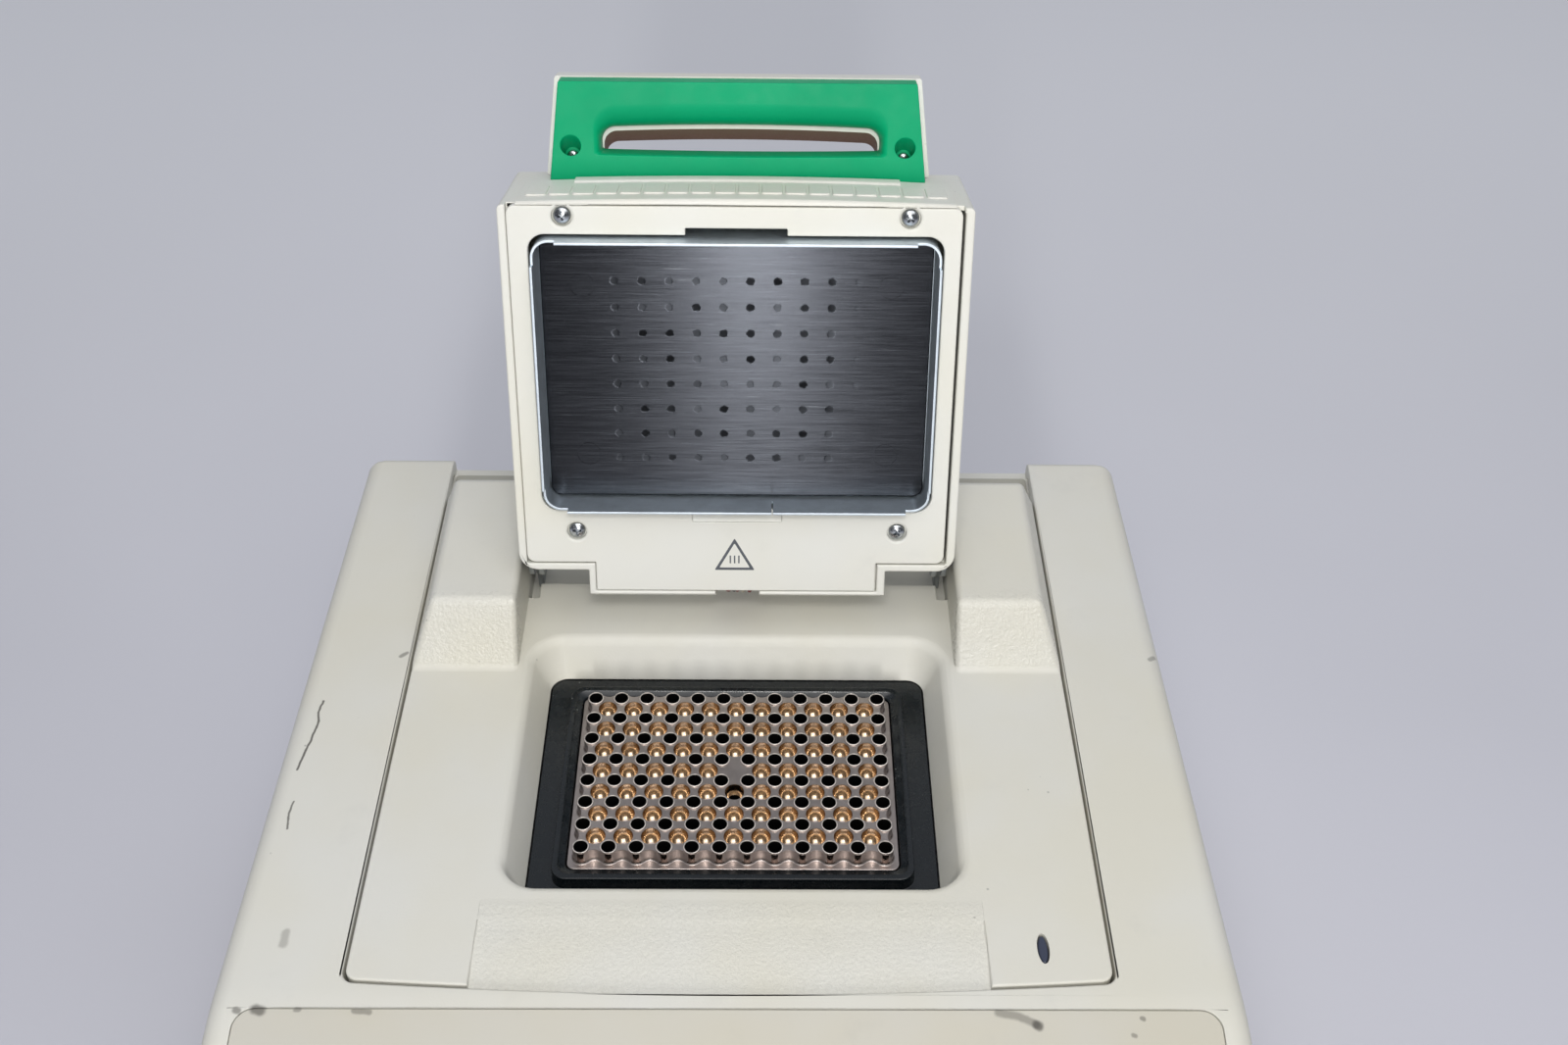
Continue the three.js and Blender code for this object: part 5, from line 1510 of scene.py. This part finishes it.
HANDLE_END = 168.35
HANDLE_FACE = -14.4
HANDLE_SPLIT = -22.4
SLOT = {"half": 46.6, "low": 144.8, "high": 152.4, "shift": 0.9}
HANDLE_SEAT = -21
SINK_LEAN = 0.72  # the screw holes lean towards the hinge as they go in
HANDLE_SCREWS = ((-55.7, 147.5), (55.7, 147.5))


def handle_plan(half_start, half_end, end, corner):
    start = LID_END + GAP
    slope = (half_start - half_end) / (end - start)
    at_corner = half_end + slope * corner
    return [
        (-half_start, start),
        (half_start, start),
        *arc((at_corner - corner, end - corner), corner, 0, 90, 6),
        *arc((-at_corner + corner, end - corner), corner, 90, 180, 6),
    ]


def slot_outline(side, low, high):
    """The finger slot, grown sideways, down and up. Its lower corners are square and its long edges bowed."""
    half = SLOT["half"] + side
    bottom, top = SLOT["low"] - low, SLOT["high"] + high
    square, round_corner = 0.9, 4.6 + 0.3 * high
    left, right = SLOT["shift"] - half, SLOT["shift"] + half
    upper_span = right - left - 2 * round_corner
    points = arc((right - square, bottom + square), square, -90, 0, 4)
    points += arc((right - round_corner, top - round_corner), round_corner, 0, 90, 10)
    for i in range(1, 16):
        x = right - round_corner - upper_span * i / 16
        points.append((x, top + 0.9 * 4 * (i / 16) * (1 - i / 16)))
    points += arc((left + round_corner, top - round_corner), round_corner, 90, 180, 10)
    points += arc((left + square, bottom + square), square, 180, 270, 4)
    for i in range(1, 16):
        x = left + square + (right - left - 2 * square) * i / 16
        points.append((x, bottom - 0.5 * 4 * (i / 16) * (1 - i / 16)))
    return points


def in_sink(at, z):
    """The middle of a handle screw's leaning hole at a height."""
    return (at[0], at[1] + (z - HANDLE_FACE) * SINK_LEAN)


def handle():
    grip = prism(handle_plan(63, 59, HANDLE_END, 0.6), "z", HANDLE_SPLIT + GAP, HANDLE_FACE)
    softened(tidied(grip), 0.4, 3, wanted=lambda at: 0.4 if at.z > HANDLE_FACE - 0.1 else 0.15)
    depth = HANDLE_FACE - HANDLE_SPLIT
    rings = [at_height(slot_outline(0, 0, 0), HANDLE_SPLIT - 1)]
    for i in range(13):
        angle = i / 12 * math.pi / 2
        roll = 8.6 * (1 - math.cos(angle))
        side = 2.6 * (1 - math.cos(angle)) ** 1.5
        low = 0.7 * (1 - math.cos(angle)) ** 2
        rings.append(at_height(slot_outline(side, low, roll), HANDLE_SPLIT + depth * math.sin(angle)))
    rings.append([(x, y, HANDLE_FACE + 1) for x, y, _ in rings[-1]])
    mouth = [(2.7, HANDLE_SEAT), (3.35, HANDLE_FACE - 0.4), (3.5, HANDLE_FACE - 0.1)]
    mouth += [(3.7, HANDLE_FACE + 0.02), (3.7, HANDLE_FACE + 1)]
    sinks = []
    for at in HANDLE_SCREWS:
        sinks.append(solid([at_height(circle(in_sink(at, z), radius, 40), z) for radius, z in mouth]))
    cut(grip, solid(rings), merged(*sinks))
    place(grip, "handle_green", LID, green_plastic, "handle_grip", smooth_below=40)

    back = prism(handle_plan(65, 61, HANDLE_END + 0.4, 1), "z", LID_BACK, HANDLE_SPLIT)
    softened(tidied(back), 1.4, 4, wanted=lambda at: 1.4 if at.z < HANDLE_SPLIT - 1 else 0.2)
    opening = [
        [(x, y - drop, z) for x, y in slot_outline(-0.5, 0, -0.4)]
        for drop, z in ((7.2, LID_BACK - 1), (6.4, LID_BACK), (1.2, HANDLE_SPLIT), (0.6, HANDLE_SPLIT + 1))
    ]
    bores = [turned([(1.9, -28), (1.9, 0)], at) for at in HANDLE_SCREWS]
    cut(back, solid(opening), *bores)

    # Painted shade: the slot's inner walls get the brown copy of the beige.
    def in_slot(at, normal):
        return 1 if abs(at.x) < SLOT["half"] + 2 and 138 < at.y < 156 and abs(normal.z) < 0.9 else 0

    place(paint(back, in_slot), "handle_back", LID, [lid_plastic, slot_painted_shade], "handle_cover")
    for i, at in enumerate(HANDLE_SCREWS):
        node = f"handle_screw_{i + 1}"
        seat = (*in_sink(at, HANDLE_SEAT), HANDLE_SEAT + 0.1)
        screw_at(node + "_head", LID, seat, node, radius=1.9, height=1.4, length=0.3, turn=35 * i)


def lid_screws():
    for i, at in enumerate(LID_SCREWS):
        node = f"lid_screw_{i + 1}"
        screw_at(node + "_head", LID, (*at, 15.4), node, height=1.75, length=8, turn=40 * i + 10)


WIRE_ROUTE = (
    (22, 9.6), (10, 10.9), (3, 11.0), (-2.5, 10.2), (-6.5, 8.3), (-8.8, 5.4), (-9.7, 2.5), (-9.6, -1),
    (-9.3, -4),
)
WIRES = ((-3.6, 0), (-1.6, 1), (0.2, 0), (2.0, 2), (3.8, 0))  # place across, colour
WIRE_STEPS = 32


def lid_wires():
    """The heater's leads, which pass under the tab and down the back of the barrel."""
    pieces = []
    for i, (x, colour) in enumerate(WIRES):
        path = []
        for step in range(WIRE_STEPS + 1):
            t = step / WIRE_STEPS * (len(WIRE_ROUTE) - 1)
            k = min(int(t), len(WIRE_ROUTE) - 2)
            y, z = (a + (b - a) * (t - k) for a, b in zip(WIRE_ROUTE[k], WIRE_ROUTE[k + 1]))
            path.append((x + 0.5 * math.sin(step * 0.35 + i * 1.7), y, z + 0.3 * math.sin(step * 0.5 + i)))
        eased = []
        for step in range(WIRE_STEPS + 1):
            near = [path[max(0, min(WIRE_STEPS, step + shift))] for shift in (-1, 0, 1)]
            eased.append([sum(values) / 3 for values in zip(*near)])
        wire = swept(eased, 0.75)
        for face in wire.data.polygons:
            face.material_index = colour
        pieces.append(wire)
    place(merged(*pieces), "lid_wires", LID, [wire_red, wire_black, wire_white], "lid_cable")


# ---- Heated plate and its wheel ----

TRAY = {"half": 66.2, "low": 29.9, "high": 124.9, "back": 4.5, "front": 23.6, "sheet": 0.9}


def heater_tray():
    half, low, high, sheet = TRAY["half"], TRAY["low"], TRAY["high"], TRAY["sheet"]
    pan = prism(rounded(-half, half, low, high, 6, 10), "z", TRAY["back"], TRAY["front"])
    room = rounded(-half + sheet, half - sheet, low + sheet, high - sheet, 6 - sheet, 10)
    cut(pan, prism(room, "z", TRAY["back"] + 1.3, 30))
    corners = [
        block((x - 8.2, x + 8.2), (y - 8.2, y + 8.2), (20.6, 30)) for x in (-half, half) for y in (low, high)
    ]
    cut(pan, *corners)
    seam = block((12, 12.35), (low - 1, low + 2), (14, 30))
    cut(pan, seam)
    softened(tidied(pan), 0.2, 2, sharper_than=40)
    place(pan, "heater_skirt", LID, skirt_steel, "heater_tray")


def heated_plate():
    plate = slab(rounded(-64.6, 64.6, PLATE_CENTRE - 45.6, PLATE_CENTRE + 45.6, 3), "z", 7.2, 10.8, 0.4)
    grooves = []
    for x in (-51, 51):
        for y in (-30, 30):
            outer = turned([(4.2, 10.62), (4.2, 12)], (x, PLATE_CENTRE + y), steps=40)
            grooves.append(cut(outer, turned([(3.75, 10), (3.75, 13)], (x, PLATE_CENTRE + y), steps=40)))
    cut(plate, *grooves)
    place(plate, "hot_plate", LID, plate_black, "heated_plate")


def pressure_wheel():
    rim = [(8, -25.8), (WHEEL_RADIUS - 0.8, -25.8), (WHEEL_RADIUS, -26.6), (WHEEL_RADIUS, -35.4)]
    rim += [(WHEEL_RADIUS - 0.6, -36.8), (WHEEL_RADIUS - 2, -37.5)]
    dish = [(15.5, -37.4), (14.3, -36.4), (12, -35.6), (0, -35.3)]
    wheel = turned(rim + dish, (0, PLATE_CENTRE), steps=112)
    grips = circle((0, PLATE_CENTRE), WHEEL_RADIUS + 1.6, 14)
    notches = [turned([(2.8, -50), (2.8, 0)], at, steps=28) for at in grips]
    cut(wheel, merged(*notches))
    hub = turned([(5.6, -36), (5.6, -36.6), (5.2, -37.0), (0, -37.2)], (0, PLATE_CENTRE), steps=48)
    joined(wheel, hub)
    softened(tidied(wheel), 0.5, 3, sharper_than=35)
    place(wheel, "wheel_knob", LID, lower_plastic, "pressure_wheel")


# ---- Pieces whose CAD shape is right ----


def refined(node, width, seams):
    """The CAD node's own shape with its edges rounded."""
    source = frame["nodes"][node]
    piece = bpy.data.objects.new(node, source.data.copy())
    bpy.context.scene.collection.objects.link(piece)
    piece.data.transform(Matrix.Scale(1 / MM, 4))
    softened(tidied(piece, **seams), width, 2, sharper_than=35)
    place(piece, node + "_finished", Matrix.Identity(4), LOOK_OF[SLOT_OF[node]], node)


def carried_over():
    widths = {
        "hinge_bracket_left": 0.3,
        "hinge_bracket_right": 0.3,
        "hinge_arm_left": 0.3,
        "hinge_arm_right": 0.3,
        "hinge_shaft": 0.4,
        "power_supply": 0.3,
        "bay_tray": 0.2,
        "heat_sink": 0.2,
        "module_base": 0.2,
        "heater_carrier": 0.3,
    }
    seams = {
        "module_base": {"x": (0,)},
        "bay_tray": {"x": (0,)},
        "power_supply": {"x": (-83,), "y": [57 + (i - 4) * 11 + GRID.y / MM for i in range(9)]},
    }
    taken = {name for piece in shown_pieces() for name in piece.get("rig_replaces", [])}
    for node in sorted(set(frame["nodes"]) - taken):
        refined(node, widths.get(node, 0.15), seams.get(node, {}))


# ---- Surroundings ----


def floor():
    look = Look("pale_floor", srgb(206, 206, 214), 0.75)
    tone = look.ramp(look.noise(700, 3, 0.5), 0.3, 0.7)
    # Painted light: the floor is painted lighter towards the back, standing in for a brighter-lit backdrop.
    away = look.ramp(look.node("SeparateXYZ", look.space).outputs[1], 0.1, 1.1, 0.0, 0.85)
    mottled = look.blend(tone, look.shade_of(1.03), look.shade_of(0.93))
    look.set("Base Color", look.blend(away, mottled, rgba(240, 241, 246)))
    look.bumped((look.noise(4, 3), 0.05))
    mesh = bmesh.new()
    bmesh.ops.create_grid(mesh, x_segments=8, y_segments=8, size=6)
    ground = piece_of(mesh, "floor")
    ground.data.materials.append(look.material)
    ground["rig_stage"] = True


def softbox(name, position, size, power, colour):
    """A rectangular lamp that points at the well grid."""
    data = bpy.data.lights.new(name, "AREA")
    data.shape = "RECTANGLE"
    data.size, data.size_y = size
    data.energy = power
    data.color = colour
    lamp = bpy.data.objects.new(name, data)
    bpy.context.scene.collection.objects.link(lamp)
    lamp.location = position
    lamp.rotation_euler = (GRID - Vector(position)).to_track_quat("-Z", "Y").to_euler()


def lights():
    """A small flash above the lens, a tall narrow window in front, and a room that is light behind."""
    softbox("flash", (0.01, -0.213, 0.70), (0.11, 0.07), 0.85, (1.0, 0.99, 0.97))
    softbox("ceiling", (0.2, -0.75, 2.1), (2.0, 2.0), 23, (1.0, 0.99, 0.98))
    softbox("window", (-0.01, -2.6, 1.15), (0.15, 1.2), 30, (1.0, 0.99, 0.98))
    world = bpy.data.worlds.new("studio")
    bpy.context.scene.world = world
    world.use_nodes = True
    nodes, link = world.node_tree.nodes, world.node_tree.links.new
    background = nodes["Background"]
    background.inputs["Color"].default_value = rgba(222, 226, 236)
    direction = nodes.new("ShaderNodeTexCoord")
    split = nodes.new("ShaderNodeSeparateXYZ")
    fade = nodes.new("ShaderNodeMapRange")
    fade.interpolation_type = "SMOOTHSTEP"
    fade_start, fade_end, front_strength, back_strength = -0.8, 0.5, 0.10, 0.62
    for socket, value in zip(fade.inputs[1:5], (fade_start, fade_end, front_strength, back_strength)):
        socket.default_value = value
    link(direction.outputs["Generated"], split.inputs[0])
    link(split.outputs[1], fade.inputs[0])
    link(fade.outputs[0], background.inputs["Strength"])
    bpy.context.scene.view_settings.view_transform = "Standard"


def camera():
    data = bpy.data.cameras.new("camera")
    data.lens = 37.145
    data.sensor_width = 36
    data.clip_start = 0.01
    data.clip_end = 50
    eye = bpy.data.objects.new("camera", data)
    bpy.context.scene.collection.objects.link(eye)
    forward = Vector((0.01158, 0.72939, -0.68400)).normalized()
    right = Vector((0.99992, -0.00449, 0.01214))
    right -= forward * right.dot(forward)
    eye.matrix_world = axes_frame((0.00980, -0.27455, 0.63198), right, -forward)
    bpy.context.scene.camera = eye


camera()
lights()
floor()
upper_housing()
lower_housing()
feet()
base_screws()
panel()
back_panel()
fan()
fan_guard()
mains_inlet()
mains_switch()
serial_port()
module_cover()
block_frame()
sample_block()
lid_shell()
inner_cover()
heat_sign()
nose_grip()
handle()
lid_screws()
lid_wires()
heater_tray()
heated_plate()
pressure_wheel()
carried_over()
